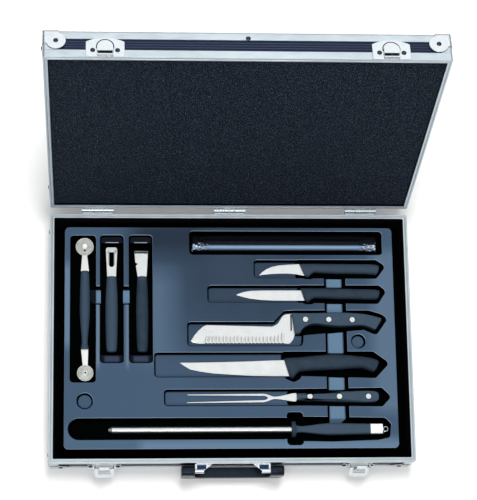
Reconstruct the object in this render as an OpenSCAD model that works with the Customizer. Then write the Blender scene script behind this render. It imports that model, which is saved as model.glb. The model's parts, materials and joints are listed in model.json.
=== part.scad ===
// Hard chef knife case: aluminium framed case with a hinged lid, two draw latches,
// a folding carry handle, a moulded tray and ten tools that lift out of it.
// The origin is the centre of the flat underside. X runs along the front, Y to the hinges.

/* [Case] */
// Width of the case over its profiles
case_w = 490; // [484:1:540]
// Depth of the case over its profiles, front to back
case_d = 340; // [338:1:380]
// Height of the base shell from its underside to its rim
base_h = 60; // [58:1:80]
// Height of the lid shell from its rim to its top
lid_h = 39; // [36:1:60]
// Angle that the lid stands open at
lid_open = 107; // [90:1:110]
// Gap between the two rims when the lid is shut
lid_gap = 0.4; // [0.3:0.1:1]

/* [Aluminium frame] */
// Wall thickness of the aluminium profiles
prof_t = 1.5; // [1:0.1:2]
// Width of the rim's top face
rim_w = 6; // [5:0.5:8]
// Height of the rim profile on the outside
rim_leg = 11; // [8:0.5:12]
// Leg length of the profile along the outer edges
edge_leg = 12; // [10:0.5:13]
// Leg length of the upright corner posts
post_leg = 13; // [10:0.5:13.5]
// Outer radius of the profile's edges
edge_r = 3; // [2:0.5:4]
// Sheet thickness of the pressed corner caps
cap_t = 1.2; // [0.8:0.1:1.5]
// Distance of a corner cap's rivet from both edges
cap_reach = 15.5; // [15.5:0.5:18]

/* [Panels] */
// Thickness of the wall panels
panel_t = 3; // [2.5:0.1:4]
// Distance from rib to rib on the panels
rib_pitch = 3.7; // [3.2:0.1:5]
// Height of a rib
rib_h = 0.7; // [0.4:0.1:1]
// Depth of the foam face below the lid's rim
foam_drop = 3; // [2:0.5:8]

/* [Hinges] */
// Distance of the hinge axis behind the back face
hinge_out = 5; // [4.8:0.1:7]
// Length of a hinge
hinge_len = 43; // [36:1:60]
// Outer radius of a hinge knuckle
knuckle_r = 4; // [3.5:0.1:4.4]
// Radius of the hinge pin
hinge_pin_r = 1.5; // [1:0.1:2]
// Distance from the case's end to the middle of an outer hinge
hinge_inset = 65; // [55:1:95]

/* [Latches] */
// Distance from the case's end to the middle of a latch
latch_inset = 74; // [55:1:110]
// Width of the lever
lever_w = 26; // [24:1:32]
// Length of the lever below its pivot
lever_len = 21; // [18:0.5:26]
// Angle that the lever hangs out at when the latch is open
lever_rest = 25; // [25:1:40]
// Width of the claw
claw_w = 14; // [10:0.5:15]
// Distance between the lever's two pivots
crank = 7; // [6.5:0.1:8]

/* [Carry handle] */
// Width of the grip over its legs
grip_w = 137; // [125:1:160]
// Width of the bracket
bracket_w = 101; // [90:1:110]
// Thickness of the grip
grip_t = 14; // [12:0.5:14]
// Length of the grip's legs below the pins
grip_drop = 39; // [34:1:42]

/* [Tray] */
// Drop of the tray's top below the rim
tray_drop = 10; // [6:0.5:11]
// Thickness of the formed sheet
sheet_t = 2; // [1:0.1:2.2]
// Slope of a pocket's walls, from its top to its floor
pocket_draft = 1.6; // [0.8:0.1:2]
// Depth of the finger channels
finger_depth = 12; // [8:0.5:14]
// Depth of the two round finger dimples
dimple_depth = 8; // [4:0.5:12]

/* [Tools] */
// Depth of the tools' middle plane below the tray's top
tool_drop = 9; // [8:0.5:10]
// Blade thickness of the knives
blade_t = 2; // [1.2:0.1:2.4]
// Handle thickness of the two small knives, the peeler and the zester
small_handle_t = 13; // [10:0.5:14]
// Handle thickness of the serrated knife
bread_handle_t = 16; // [13:0.5:17]
// Handle thickness of the boning knife
boning_handle_t = 18; // [14:0.5:18]
// Handle thickness of the fork
fork_handle_t = 15; // [12:0.5:16]
// Outer radius of the tube
tube_r = 13; // [10:0.5:13.5]
// Radius of the sharpening rod
rod_r = 5; // [3.5:0.5:5.5]
// Radius of the guard disc on the sharpening steel
guard_r = 11; // [9:0.5:11]
// Radius of the scale rivets
scale_rivet_r = 3.5; // [2.5:0.1:4]

/* [Hidden] */
$fn = 48;

half_w = case_w / 2;
half_d = case_d / 2;
lid_z = base_h + lid_gap;
lid_top = lid_z + lid_h;
hinge_y = half_d + hinge_out;
hinge_z = base_h + lid_gap / 2;
hinge_xs = [hinge_inset - half_w, 0, half_w - hinge_inset];
latch_x = half_w - latch_inset;
run_gap = 0.05;
play = 0.3;

// panel faces, from the outside of the profiles inwards
panel_out = prof_t;
panel_in = prof_t + panel_t;
lining_t = rim_w - panel_in;

plate_t = 1.2;
leaf_t = 1.5;
rivet_r = 1.6;
head_r = 3;
head_h = 1.3;

// tray levels
tray_z = base_h - tray_drop;
tool_z = tray_z - tool_drop;
floor_z = prof_t + panel_t;
plateau_x = half_w - 20.2;
plateau_front = -(half_d - 19.6);
plateau_back = half_d - 16.6;
lip_r = 5;
finger_z = tray_z - finger_depth;
dimple_z = tray_z - dimple_depth;
shelf_z = tool_z - blade_t / 2 - play;
small_floor = tool_z - small_handle_t / 2 - play;
bread_floor = tool_z - bread_handle_t / 2 - play;
boning_floor = tool_z - boning_handle_t / 2 - play;
fork_floor = tool_z - fork_handle_t / 2 - play;
scoop_r = 12.3;
scoop_lift = 2;
scoop_floor = tool_z + scoop_lift - scoop_r - play;
tube_z = tray_z - tube_r - 0.5;
tube_y = 131.8;
steel_y = -124;
steel_floor = tool_z - 8.1 - play;

// latch pivots on the front face and the keeper that the claw hooks over
pivot_y = -(half_d + 4.4);
pivot_z = base_h - 18;
lever_t = 1.2;
lever_off = 2;
ear_t = 1.4;
lug_t = 1.5;
lever_pin_r = 1.5;
claw_pin_r = 1.2;
claw_t = 1.2;
keeper_w = 46;
slot_low = 3.5;
slot_high = 6.9;
cap_half = 9.7;
keeper_out = 3.5;
lip_out = 2.2;
hook_z = lid_z + slot_low + play;
hook_rise = hook_z - (pivot_z - crank);
hook_in = pivot_y + half_d + plate_t + 5.3;

// carry handle
grip_pin_y = -(half_d + 10);
grip_pin_z = base_h - 11;
grip_pin_r = 2;
barrel_r = 3.2;
grip_gap = 0.4;
bar_h = 17;
ear_tip = 12;
ear_root = 24;

// helpers

function unit(v) = v / norm(v);

// of an edge's length, the most that the cuts at its two ends take up
cut_share = 0.96;

function shared_cut(here, there, edge) =
    here == 0 ? 0 : min(here, here * cut_share * edge / (here + there));

// an outline with each corner cut back by its own third value and bridged by a curve
function soft(p, n = 4) = [
    for (i = [0 : len(p) - 1])
        let (
            v = [p[i][0], p[i][1]],
            a = p[(i + len(p) - 1) % len(p)],
            b = p[(i + 1) % len(p)],
            to_a = [a[0], a[1]] - v,
            to_b = [b[0], b[1]] - v,
            r = min(shared_cut(p[i][2], a[2], norm(to_a)),
                shared_cut(p[i][2], b[2], norm(to_b))),
            u = unit(to_a),
            w = unit(to_b)
        )
        each r == 0
            ? [v]
            : [for (k = [0 : n]) let (t = k / n)
                pow(1 - t, 2) * (v + r * u) + 2 * t * (1 - t) * v + t * t * (v + r * w)]
];

function soft_rect(x0, x1, y0, y1, r, n = 4) =
    soft([[x0, y0, r], [x1, y0, r], [x1, y1, r], [x0, y1, r]], n);

// a 2D outline in (y, z), drawn out along X from x0 to x1
module along_x(x0, x1)
    translate([x0, 0, 0]) rotate([90, 0, 90]) linear_extrude(x1 - x0) children();

// a 2D outline in (x, z), drawn out towards the front from the plane y
module from_plane(y, depth)
    translate([0, y, 0]) rotate([90, 0, 0]) linear_extrude(depth) children();

module slab(points, z0, z1)
    translate([0, 0, z0]) linear_extrude(z1 - z0) polygon(points);

// children turned about the hinge axis to the open lid's place
module on_lid()
    translate([0, hinge_y, hinge_z]) rotate([-lid_open, 0, 0])
        translate([0, -hinge_y, -hinge_z]) children();

// a shell drawn rim up is turned over onto the rim of the base
module turned_over()
    translate([0, 0, lid_top]) mirror([0, 0, 1]) children();

module four_corners()
    for (sx = [0, 1]) for (sy = [0, 1])
        mirror([sx, 0, 0]) mirror([0, sy, 0]) translate([half_w, half_d, 0]) children();

// rivets: each entry is place, turn and whether it has a domed head
function corner_spots(z, out, turn, dome) = [
    for (sx = [-1, 1]) for (sy = [-1, 1]) each [
        [[sx * (half_w - cap_reach), sy * (half_d + cap_t), z], [-90 * sy, 0, 0], true],
        [[sx * (half_w + cap_t), sy * (half_d - cap_reach), z], [0, 90 * sx, 0], true],
        [[sx * (half_w - cap_reach), sy * (half_d - cap_reach), out], turn, dome]
    ]
];
latch_spots = [
    for (s = [-1, 1]) for (dx = [-18.5, 18.5]) for (dz = [7, 34])
        [[s * latch_x + dx, -(half_d + plate_t), base_h - dz], [90, 0, 0], true]
];
bracket_spots = [
    for (dx = [-12, 12]) for (dz = [6, 16])
        [[dx, -(half_d + plate_t), base_h - dz], [90, 0, 0], true]
];
function leaf_spots(z_near, z_far) = [
    for (x = hinge_xs) for (dx = [-14, 14]) for (z = [z_near, z_far])
        [[x + dx, half_d + leaf_t, z], [-90, 0, 0], true]
];
keeper_spots = [
    for (s = [-1, 1]) for (dx = [-14.7, 14.7])
        [[s * latch_x + dx, -(half_d + plate_t), lid_z + 9.5], [90, 0, 0], true]
];
base_spots = concat(corner_spots(cap_reach, -cap_t, [180, 0, 0], false),
    latch_spots, bracket_spots, leaf_spots(base_h - 7, base_h - 19));
lid_spots = concat(corner_spots(lid_top - cap_reach, lid_top + cap_t, [0, 0, 0], true),
    keeper_spots, leaf_spots(lid_z + 7, lid_z + 19),
    [[[0, -half_d, lid_top - 9.4], [90, 0, 0], true]]);

// the shank reaches the inner face of the panel behind the plate
module shanks(spots)
    for (s = spots) translate(s[0]) rotate(s[1])
        translate([0, 0, -shank_len(s)]) cylinder(r = rivet_r, h = shank_len(s));

function shank_len(s) =
    panel_in + max(abs(s[0][0]) - half_w, abs(s[0][1]) - half_d,
        s[0][2] - lid_top, -s[0][2]);

module rivets(spots) {
    shanks(spots);
    for (s = spots)
        if (s[2]) translate(s[0]) rotate(s[1])
            rotate_extrude() polygon([[0, 0], [head_r, 0], [head_r, 0.3],
                [0.8 * head_r, 0.75 * head_h], [0.45 * head_r, head_h], [0, head_h]]);
}

// shell pieces, drawn with the outer face at z = 0 and the rim at z = h

// a plain profile ring with a turned in lip and a shallow groove along its top
module rim_ring(h) {
    top = h - prof_t;
    groove = rim_w / 2;
    difference() {
        slab(soft_rect(-half_w, half_w, -half_d, half_d, edge_r), h - rim_leg, h);
        slab(soft_rect(-half_w + prof_t, half_w - prof_t, -half_d + prof_t, half_d - prof_t, 0),
            h - rim_leg - 1, top);
        slab(soft_rect(-half_w + rim_w, half_w - rim_w, -half_d + rim_w, half_d - rim_w, 1.5),
            top - 1, h + 1);
        difference() {
            slab(soft_rect(-half_w + groove - 0.6, half_w - groove + 0.6,
                -half_d + groove - 0.6, half_d - groove + 0.6, 2), h - 0.6, h + 1);
            slab(soft_rect(-half_w + groove + 0.6, half_w - groove - 0.6,
                -half_d + groove + 0.6, half_d - groove - 0.6, 2), h - 1, h + 2);
        }
    }
}

// the space inside the outer skin, with its upright and lower edges rounded
module soft_shell(h) {
    intersection() {
        slab(soft_rect(-half_w, half_w, -half_d, half_d, edge_r), 0, h);
        along_x(-half_w, half_w)
            polygon(soft([[-half_d, 0, edge_r], [half_d, 0, edge_r], [half_d, h, 0],
                [-half_d, h, 0]]));
        from_plane(half_d, case_d)
            polygon(soft([[-half_w, 0, edge_r], [half_w, 0, edge_r], [half_w, h, 0],
                [-half_w, h, 0]]));
    }
}

module edge_ring() {
    difference() {
        soft_shell(edge_leg);
        slab(soft_rect(-half_w + prof_t, half_w - prof_t, -half_d + prof_t, half_d - prof_t, 0),
            prof_t, edge_leg + 1);
        slab(soft_rect(-half_w + edge_leg, half_w - edge_leg, -half_d + edge_leg,
            half_d - edge_leg, 0.5), -1, edge_leg);
    }
}

module posts(h) {
    four_corners()
        difference() {
            slab(soft([[-post_leg, -post_leg, 0], [0, -post_leg, 0], [0, 0, edge_r],
                [-post_leg, 0, 0]]), edge_leg, h - rim_leg);
            slab(soft([[-post_leg - 1, -post_leg - 1, 0], [-prof_t, -post_leg - 1, 0],
                [-prof_t, -prof_t, 0], [-post_leg - 1, -prof_t, 0]]), 0, h);
        }
}

// the section of a ribbed panel: [distance out of its plain face, position along it]
function ribbed(a0, a1, rib0, rib1) =
    let (count = floor((rib1 - rib0) / rib_pitch),
        start = (rib0 + rib1 - (count - 1) * rib_pitch) / 2)
    concat([[-panel_t, a0], [0, a0]],
        [for (i = [0 : count - 1]) for (s = [[-1.1, 0], [-0.7, 0.7], [0, 1], [0.7, 0.7], [1.1, 0]])
            [s[1] * rib_h, start + i * rib_pitch + s[0]]],
        [[0, a1], [-panel_t, a1]]);

function plain(a0, a1) = [[-panel_t, a0], [0, a0], [0, a1], [-panel_t, a1]];

// a pair of walls at y = out and y = -out, ribbed except where the posts lie over their ends
module wall_pair(out, half_len, half_ribs, h) {
    ribs = ribbed(prof_t, h - prof_t, edge_leg, h - rim_leg);
    flat = plain(prof_t, h - prof_t);
    for (s = [-1, 1]) {
        along_x(-half_ribs, half_ribs) polygon([for (p = ribs) [s * (out + p[0]), p[1]]]);
        for (m = [0, 1]) mirror([m, 0, 0])
            along_x(half_ribs, half_len) polygon([for (p = flat) [s * (out + p[0]), p[1]]]);
    }
}

module walls(h) {
    wall_pair(half_d - panel_out, half_w - panel_out, half_w - post_leg - play, h);
    rotate([0, 0, 90])
        wall_pair(half_w - panel_out, half_d - panel_in - 0.1, half_d - post_leg - play, h);
}

// one pressed cap, drawn at a corner whose point is the origin and whose body is below it
module cap() {
    far = cap_reach + 14;
    function outer(r, o) = soft([[-far, -far, 0], [o, -far, 0], [o, o, r], [-far, o, 0]], 5);
    module block(r, o) {
        intersection() {
            translate([0, 0, -far]) linear_extrude(far + o) polygon(outer(r, o));
            translate([-far, 0, 0]) rotate([90, 0, 90]) linear_extrude(far + o)
                polygon(outer(r, o));
            translate([0, o, 0]) rotate([90, 0, 0]) linear_extrude(far + o)
                polygon(outer(r, o));
        }
    }
    module lug(depth) {
        linear_extrude(depth) union() {
            translate([-cap_reach, -cap_reach]) circle(12);
            translate([-cap_reach - 3.5, -cap_reach - 3.5]) square(cap_reach + 3.5 + cap_t);
        }
    }
    deep = edge_r + 2;
    difference() {
        intersection() {
            block(edge_r + cap_t, cap_t);
            union() {
                translate([0, 0, -deep]) lug(deep + cap_t);
                translate([-deep, 0, 0]) rotate([90, 0, 90]) lug(deep + cap_t);
                translate([0, cap_t, 0]) rotate([90, 0, 0]) lug(deep + cap_t);
            }
        }
        block(edge_r, 0);
    }
}

// base

module base_rim_profile() color("#c9ced2")
    difference() {
        rim_ring(base_h);
        shanks(base_spots);
    }

module base_edge_profile() color("#c9ced2") edge_ring();

module base_corner_posts() color("#c9ced2") posts(base_h);

module base_wall_panels() color("#1d1f22")
    difference() {
        walls(base_h);
        shanks(base_spots);
    }

// the middle of the underside stands flush with the profiles and clears the cap lugs
module base_bottom_panel() color("#1d1f22") {
    inner_x = half_w - panel_in;
    inner_y = half_d - panel_in;
    field_x = half_w - edge_leg - play;
    field_y = half_d - edge_leg - play;
    difference() {
        union() {
            slab(soft_rect(-inner_x, inner_x, -inner_y, inner_y, 0.5), prof_t, floor_z);
            difference() {
                slab(soft_rect(-field_x, field_x, -field_y, field_y, 1), 0, prof_t);
                for (sx = [-1, 1]) for (sy = [-1, 1])
                    translate([sx * (half_w - cap_reach), sy * (half_d - cap_reach), -1])
                        cylinder(r = 13, h = prof_t + 1);
            }
        }
        shanks(base_spots);
    }
}

module base_lining() color("#0c0c0e")
    difference() {
        slab(soft_rect(-half_w + panel_in, half_w - panel_in, -half_d + panel_in,
            half_d - panel_in, 0.5), floor_z, base_h - prof_t);
        slab(soft_rect(-half_w + rim_w, half_w - rim_w, -half_d + rim_w, half_d - rim_w, 1.5),
            0, base_h);
    }

module base_corner_caps() color("#d4d8da")
    difference() {
        four_corners() mirror([0, 0, 1]) cap();
        shanks(base_spots);
    }

module base_rivets() color("#b9bec2") rivets(base_spots);

// hinges: two outer knuckles on the base, one middle knuckle on the lid

knuckle_len = hinge_len / 3;

module knuckle(x0, x1)
    translate([x0, hinge_y, hinge_z]) rotate([0, 90, 0]) cylinder(r = knuckle_r, h = x1 - x0);

module knuckle_room(x0, x1)
    translate([x0, hinge_y, hinge_z]) rotate([0, 90, 0])
        cylinder(r = knuckle_r + play, h = x1 - x0);

module pin_bore(r)
    translate([-hinge_len, hinge_y, hinge_z]) rotate([0, 90, 0])
        cylinder(r = r, h = 2 * hinge_len);

module leaf(z0, z1)
    translate([0, half_d + leaf_t, 0]) rotate([90, 0, 0]) linear_extrude(leaf_t)
        polygon(soft_rect(-hinge_len / 2, hinge_len / 2, z0, z1, 1.5));

module hinge_base_leaves() color("#c3c8cc")
    difference() {
        for (x = hinge_xs) translate([x, 0, 0])
            difference() {
                union() {
                    leaf(base_h - 25, base_h - 0.4);
                    for (s = [0, 1]) mirror([s, 0, 0])
                        knuckle(knuckle_len / 2 + 0.15, hinge_len / 2);
                }
                knuckle_room(-knuckle_len / 2 - 0.15, knuckle_len / 2 + 0.15);
                pin_bore(hinge_pin_r);
            }
        shanks(base_spots);
    }

module hinge_pins() color("#9aa0a4")
    for (x = hinge_xs)
        translate([x - hinge_len / 2 - 0.5, hinge_y, hinge_z]) rotate([0, 90, 0])
            cylinder(r = hinge_pin_r, h = hinge_len + 1);

module hinge_lid_leaves() color("#c3c8cc") on_lid()
    difference() {
        for (x = hinge_xs) translate([x, 0, 0])
            difference() {
                union() {
                    leaf(lid_z + 0.4, lid_z + 25);
                    knuckle(-knuckle_len / 2 + 0.15, knuckle_len / 2 - 0.15);
                }
                for (s = [0, 1]) mirror([s, 0, 0])
                    knuckle_room(knuckle_len / 2 - 0.15, hinge_len / 2 + 1);
                pin_bore(hinge_pin_r + run_gap);
            }
        shanks(lid_spots);
    }

// lid

module lid_rim_profile() color("#c9ced2") on_lid()
    difference() {
        turned_over() rim_ring(lid_h);
        shanks(lid_spots);
    }

module lid_edge_profile() color("#c9ced2") on_lid()
    difference() {
        turned_over() edge_ring();
        shanks(lid_spots);
    }

module lid_corner_posts() color("#c9ced2") on_lid() turned_over() posts(lid_h);

module lid_wall_panels() color("#1d1f22") on_lid()
    difference() {
        turned_over() walls(lid_h);
        shanks(lid_spots);
    }

module lid_top_panel() color("#1d1f22") on_lid()
    difference() {
        inner_y = half_d - panel_in;
        field_x = half_w - edge_leg - play;
        ribs = ribbed(-inner_y, inner_y, -half_d + edge_leg, half_d - edge_leg);
        flat = plain(-inner_y, inner_y);
        union() {
            along_x(-field_x, field_x)
                polygon([for (p = ribs) [p[1], lid_top - panel_out + p[0]]]);
            for (m = [0, 1]) mirror([m, 0, 0]) along_x(field_x, half_w - panel_in)
                polygon([for (p = flat) [p[1], lid_top - panel_out + p[0]]]);
        }
        shanks(lid_spots);
    }

module lid_foam() color("#34373c") on_lid()
    slab(soft_rect(-half_w + panel_in + 0.2, half_w - panel_in - 0.2, -half_d + panel_in + 0.2,
        half_d - panel_in - 0.2, 2), lid_z + foam_drop, lid_top - panel_in);

module lid_corner_caps() color("#d4d8da") on_lid()
    difference() {
        translate([0, 0, lid_top]) four_corners() cap();
        shanks(lid_spots);
    }

module lid_rivets() color("#b9bec2") on_lid() rivets(lid_spots);

// the keeper: an arched plate with a hollow D cap above a slot, and the lip that is hooked
module keeper() {
    arch = 45.8;
    d_top = 21.4;
    module d_shape(grow, low) intersection() {
        union() {
            translate([0, d_top - cap_half]) circle(cap_half - grow);
            translate([-cap_half + grow, low])
                square([2 * (cap_half - grow), d_top - cap_half - low]);
        }
        translate([-cap_half, low]) square([2 * cap_half, d_top]);
    }
    translate([0, -half_d, lid_z]) rotate([90, 0, 0]) {
        difference() {
            union() {
                linear_extrude(plate_t) intersection() {
                    translate([-keeper_w / 2, 0.1]) square([keeper_w, 30]);
                    translate([0, 28.2 - arch]) circle(arch, $fn = 128);
                }
                linear_extrude(plate_t + keeper_out) d_shape(0, slot_high);
                translate([-cap_half, 1.8, 0]) cube([2 * cap_half, slot_low - 1.8,
                    plate_t + lip_out]);
            }
            translate([0, 0, plate_t]) linear_extrude(keeper_out - 1.1)
                d_shape(1.2, slot_high - 1);
        }
    }
}

module lid_keepers() color("#d4d8da") on_lid()
    difference() {
        for (s = [-1, 1]) translate([s * latch_x, 0, 0]) keeper();
        shanks(lid_spots);
    }

// latches

lug_x = lever_w / 2 + 0.4;
ear_x = lever_w / 2 - ear_t;
window = claw_w + 2;

module cross_pin(r, x0, x1)
    translate([x0, pivot_y, pivot_z]) rotate([0, 90, 0]) cylinder(r = r, h = x1 - x0);

module latch_plate() {
    difference() {
        union() {
            from_plane(-half_d, plate_t)
                polygon(soft_rect(-22, 22, base_h - 39, base_h - 2, 2));
            for (s = [0, 1]) mirror([s, 0, 0]) {
                cross_pin(3, lug_x, lug_x + lug_t);
                translate([lug_x, pivot_y, pivot_z - 3])
                    cube([lug_t, -half_d - plate_t - pivot_y, 6]);
            }
        }
        cross_pin(lever_pin_r, -30, 30);
    }
}

module latch_plates() color("#d4d8da")
    difference() {
        for (s = [-1, 1]) translate([s * latch_x, 0, 0]) latch_plate();
        shanks(base_spots);
    }

module latch_pivot_pins() color("#9aa0a4")
    for (s = [-1, 1]) translate([s * latch_x, 0, 0])
        for (m = [0, 1]) mirror([m, 0, 0]) {
            cross_pin(lever_pin_r, ear_x - 0.3, lug_x + lug_t);
            cross_pin(2.3, lug_x + lug_t, lug_x + lug_t + 0.8);
        }

// the lever hangs from its pivot at the origin, straight down, and two side ears hold the claw
module lever() {
    hook_arm = -lever_off - lever_t;
    difference() {
        union() {
            translate([0, -lever_off, 0]) rotate([90, 0, 0]) linear_extrude(lever_t)
                difference() {
                    polygon(soft([[-lever_w / 2, 2.6, 1], [lever_w / 2, 2.6, 1],
                        [lever_w / 2, -lever_len, 7], [-lever_w / 2, -lever_len, 7]], 6));
                    translate([-window / 2, -crank - 5]) square([window, crank + 10]);
                }
            for (s = [0, 1]) mirror([s, 0, 0])
                translate([ear_x, 0, 0]) rotate([90, 0, 90]) linear_extrude(ear_t)
                    union() {
                        circle(2.6);
                        translate([0, -crank]) circle(2.4);
                        translate([-2.4, -crank]) square([4.8, crank]);
                        polygon([[hook_arm, 2.6], [0, 2.6], [0, -crank - 2.4],
                            [-lever_off, -lever_len + 4], [hook_arm, -lever_len + 4]]);
                    }
        }
        translate([-20, 0, 0]) rotate([0, 90, 0]) cylinder(r = lever_pin_r + run_gap, h = 40);
        translate([-20, 0, -crank]) rotate([0, 90, 0])
            cylinder(r = claw_pin_r + run_gap, h = 40);
    }
}

// the claw stands on its own cross pin at the origin and its hook points back to the wall
module claw() {
    half = claw_w / 2;
    translate([-lever_w / 2 - 0.3, 0, 0]) rotate([0, 90, 0])
        cylinder(r = claw_pin_r, h = lever_w + 0.6);
    translate([-half, 0, 0]) rotate([0, 90, 0]) cylinder(r = 2.4, h = claw_w);
    translate([-half, -2.4, 0]) cube([claw_w, claw_t, hook_rise + claw_t]);
    translate([-half, -2.4, hook_rise]) cube([claw_w, 2.4 + hook_in, claw_t]);
}

module left_lever() color("#d4d8da")
    translate([-latch_x, pivot_y, pivot_z]) rotate([-lever_rest, 0, 0]) lever();

module right_lever() color("#d4d8da")
    translate([latch_x, pivot_y, pivot_z]) rotate([-lever_rest, 0, 0]) lever();

module claw_in_place(x)
    translate([x, pivot_y - crank * sin(lever_rest), pivot_z - crank * cos(lever_rest)]) claw();

module left_claw() color("#c3c8cc") claw_in_place(-latch_x);

module right_claw() color("#c3c8cc") claw_in_place(latch_x);

// carry handle

module handle_bracket() color("#d9dcde")
    difference() {
        union() {
            from_plane(-half_d, plate_t)
                polygon(soft_rect(-bracket_w / 2, bracket_w / 2, base_h - 20, base_h - 2, 2));
            for (s = [0, 1]) mirror([s, 0, 0]) {
                slab([[bracket_w / 2 - ear_root, -half_d - plate_t / 2],
                    [bracket_w / 2, -half_d - plate_t / 2], [bracket_w / 2, grip_pin_y],
                    [bracket_w / 2 - ear_tip, grip_pin_y]], grip_pin_z - 0.2, grip_pin_z + 2.4);
                translate([bracket_w / 2 - ear_tip, grip_pin_y, grip_pin_z]) rotate([0, 90, 0])
                    cylinder(r = barrel_r, h = ear_tip);
            }
        }
        translate([-100, grip_pin_y, grip_pin_z]) rotate([0, 90, 0])
            cylinder(r = grip_pin_r, h = 200);
        shanks(base_spots);
    }

module handle_pins() color("#9aa0a4")
    for (s = [0, 1]) mirror([s, 0, 0])
        translate([bracket_w / 2 - ear_tip, grip_pin_y, grip_pin_z]) rotate([0, 90, 0])
            cylinder(r = grip_pin_r, h = ear_tip + 13);

module carry_grip() color("#141518") {
    half = grip_w / 2;
    leg = bracket_w / 2 + grip_gap;
    low = grip_pin_z - grip_drop;
    r = grip_t / 2;
    difference() {
        intersection() {
            from_plane(grip_pin_y + r, grip_t)
                difference() {
                    polygon(soft([[-half, grip_pin_z + r, 4], [half, grip_pin_z + r, 4],
                        [half, low, 16], [-half, low, 16]], 8));
                    polygon(soft([[-leg, low + bar_h, 12], [leg, low + bar_h, 12],
                        [leg, grip_pin_z + 20, 0], [-leg, grip_pin_z + 20, 0]], 8));
                }
            along_x(-half, half) union() {
                translate([grip_pin_y, grip_pin_z]) circle(r);
                polygon(soft([[grip_pin_y - r, low, 5], [grip_pin_y + r, low, 5],
                    [grip_pin_y + r, grip_pin_z, 0], [grip_pin_y - r, grip_pin_z, 0]], 5));
            }
        }
        for (s = [0, 1]) mirror([s, 0, 0])
            translate([leg - 1, grip_pin_y, grip_pin_z]) rotate([0, 90, 0])
                cylinder(r = grip_pin_r + run_gap, h = 14.3);
    }
}

// tray: each pocket is [corner centres, floor height, lip radius, slope]

function box_pts(x0, x1, y0, y1, r = lip_r) =
    [[x0 + r, y0 + r], [x1 - r, y0 + r], [x1 - r, y1 - r], [x0 + r, y1 - r]];

ledge_z = tray_z - 7;
rod_floor = tool_z - rod_r - play;
guard_floor = tool_z - guard_r - play;

// the outlines of the pockets and tools are written for a case of this size; in another
// one, the left group keeps to its corner and the rows keep to the right end
drawn_w = 490;
drawn_d = 340;
group_x = (case_w - drawn_w) / 2;
row_share = case_d / drawn_d;
left_shift = [-group_x, (case_d - drawn_d) / 2];
peeling_y = 95;
kitchen_y = 61;
bread_y = 13;
boning_y = -37;
fork_y = -80.3;

function row_shift(y) = [group_x, y * (row_share - 1)];

module at_left() translate([left_shift[0], left_shift[1], 0]) children();

module in_row(y) translate([row_shift(y)[0], row_shift(y)[1], 0]) children();

function knife_well(outline, floor_height) = [outline, floor_height, lip_r, pocket_draft];

well_groups = [
    // melon baller, and peeler and zester, each of these with a raised ledge at both ends
    [left_shift, concat(
        [knife_well(box_pts(-217.4, -182.3, -60.7, 142), scoop_floor)],
        [for (x = [-160.8, -121.6]) [box_pts(x - 16.2, x + 16.2, -34.5, 142.5), ledge_z,
            lip_r, 1]],
        [for (x = [-160.8, -121.6]) knife_well(box_pts(x - 16.2, x + 16.2, -23, 133),
            small_floor)])],
    // tube
    [row_shift(tube_y), [knife_well(box_pts(-55.1, 210.7, 115.3, 148.4),
        tube_z - tube_r - play)]],
    // peeling knife: blade, handle and guard
    [row_shift(peeling_y), [
        knife_well(box_pts(32.9, 115, 82.6, 108), shelf_z),
        knife_well([[95, 87.5], [95, 103.5], [200, 103.4], [207.6, 98.4], [199, 87]],
            small_floor),
        knife_well([[104, 86.4], [111, 86.4], [107, 92]], small_floor)]],
    // kitchen knife: blade, handle and guard
    [row_shift(kitchen_y), [
        knife_well(box_pts(-31, 118, 48.4, 72.4), shelf_z),
        knife_well([[97, 53.2], [97, 67.8], [203, 67.6], [207.8, 63.6], [200, 51.8]],
            small_floor),
        knife_well([[103.5, 51.2], [110.5, 51.2], [107, 58]], small_floor)]],
    // serrated knife: blade, heel and handle
    [row_shift(bread_y), [
        knife_well(box_pts(-59, 98, -11.6, 22), shelf_z),
        knife_well([[61, 10], [61, 17], [75.5, 32.4], [97, 32.6], [94, -4], [61, -6.6]],
            shelf_z),
        knife_well([[86, 32.8], [188, 32.8], [188, 16.4], [94.5, 7.8], [88.6, 8.4]],
            bread_floor),
        knife_well([[180, 32.8], [189, 32.6], [203, 28.5], [208.2, 25.2], [197, 9.6],
            [180, 17]], bread_floor)]],
    // boning knife: blade, handle and guard
    [row_shift(boning_y), [
        knife_well(box_pts(-104, 95, -54, -20), shelf_z),
        knife_well([[73, -24], [192, -24], [208, -35.6], [194, -50.4], [73, -47]],
            boning_floor),
        knife_well([[77, -52.4], [84.5, -55.6], [89.6, -52.6], [84, -40]], boning_floor)]],
    // fork: tines and handle
    [row_shift(fork_y), [
        knife_well(box_pts(-91, 92, -93, -70.4), shelf_z),
        knife_well([[80, -75.2], [202, -73.6], [209.5, -81], [202, -89], [80, -87.6]],
            fork_floor)]],
    // sharpening steel: rod, guard and handle
    [row_shift(steel_y), [
        [[[-205 - 2 * group_x, -123.4], [70, -123.4]], rod_floor, 14.6, pocket_draft],
        knife_well(box_pts(74, 96, -146, -101.4), guard_floor),
        knife_well([[88, -112.4], [205, -114.4], [209.8, -119.5], [208.4, -131.8],
            [196.5, -134.4], [135, -136.4], [88, -135.4]], steel_floor)]],
    // finger channels
    [row_shift(0), [[box_pts(129.2, 158.9, -114 * row_share, 92 * row_share), finger_z,
        lip_r, 3.6]]],
    [left_shift, [[box_pts(-188, -130, 45.6, 71.3), finger_z, lip_r, 3]]],
    // round dimples
    [[-group_x, -85.8 * (row_share - 1)], [[[[-197.2, -85.8]], dimple_z, 11.1, 1.6]]],
    [row_shift(-5), [[[[174, -5]], dimple_z, 10, 1.6]]]
];

// each well with its group's shift as a fifth value
wells = [for (g = well_groups) for (w = g[1]) concat(w, [g[0]])];

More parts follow.
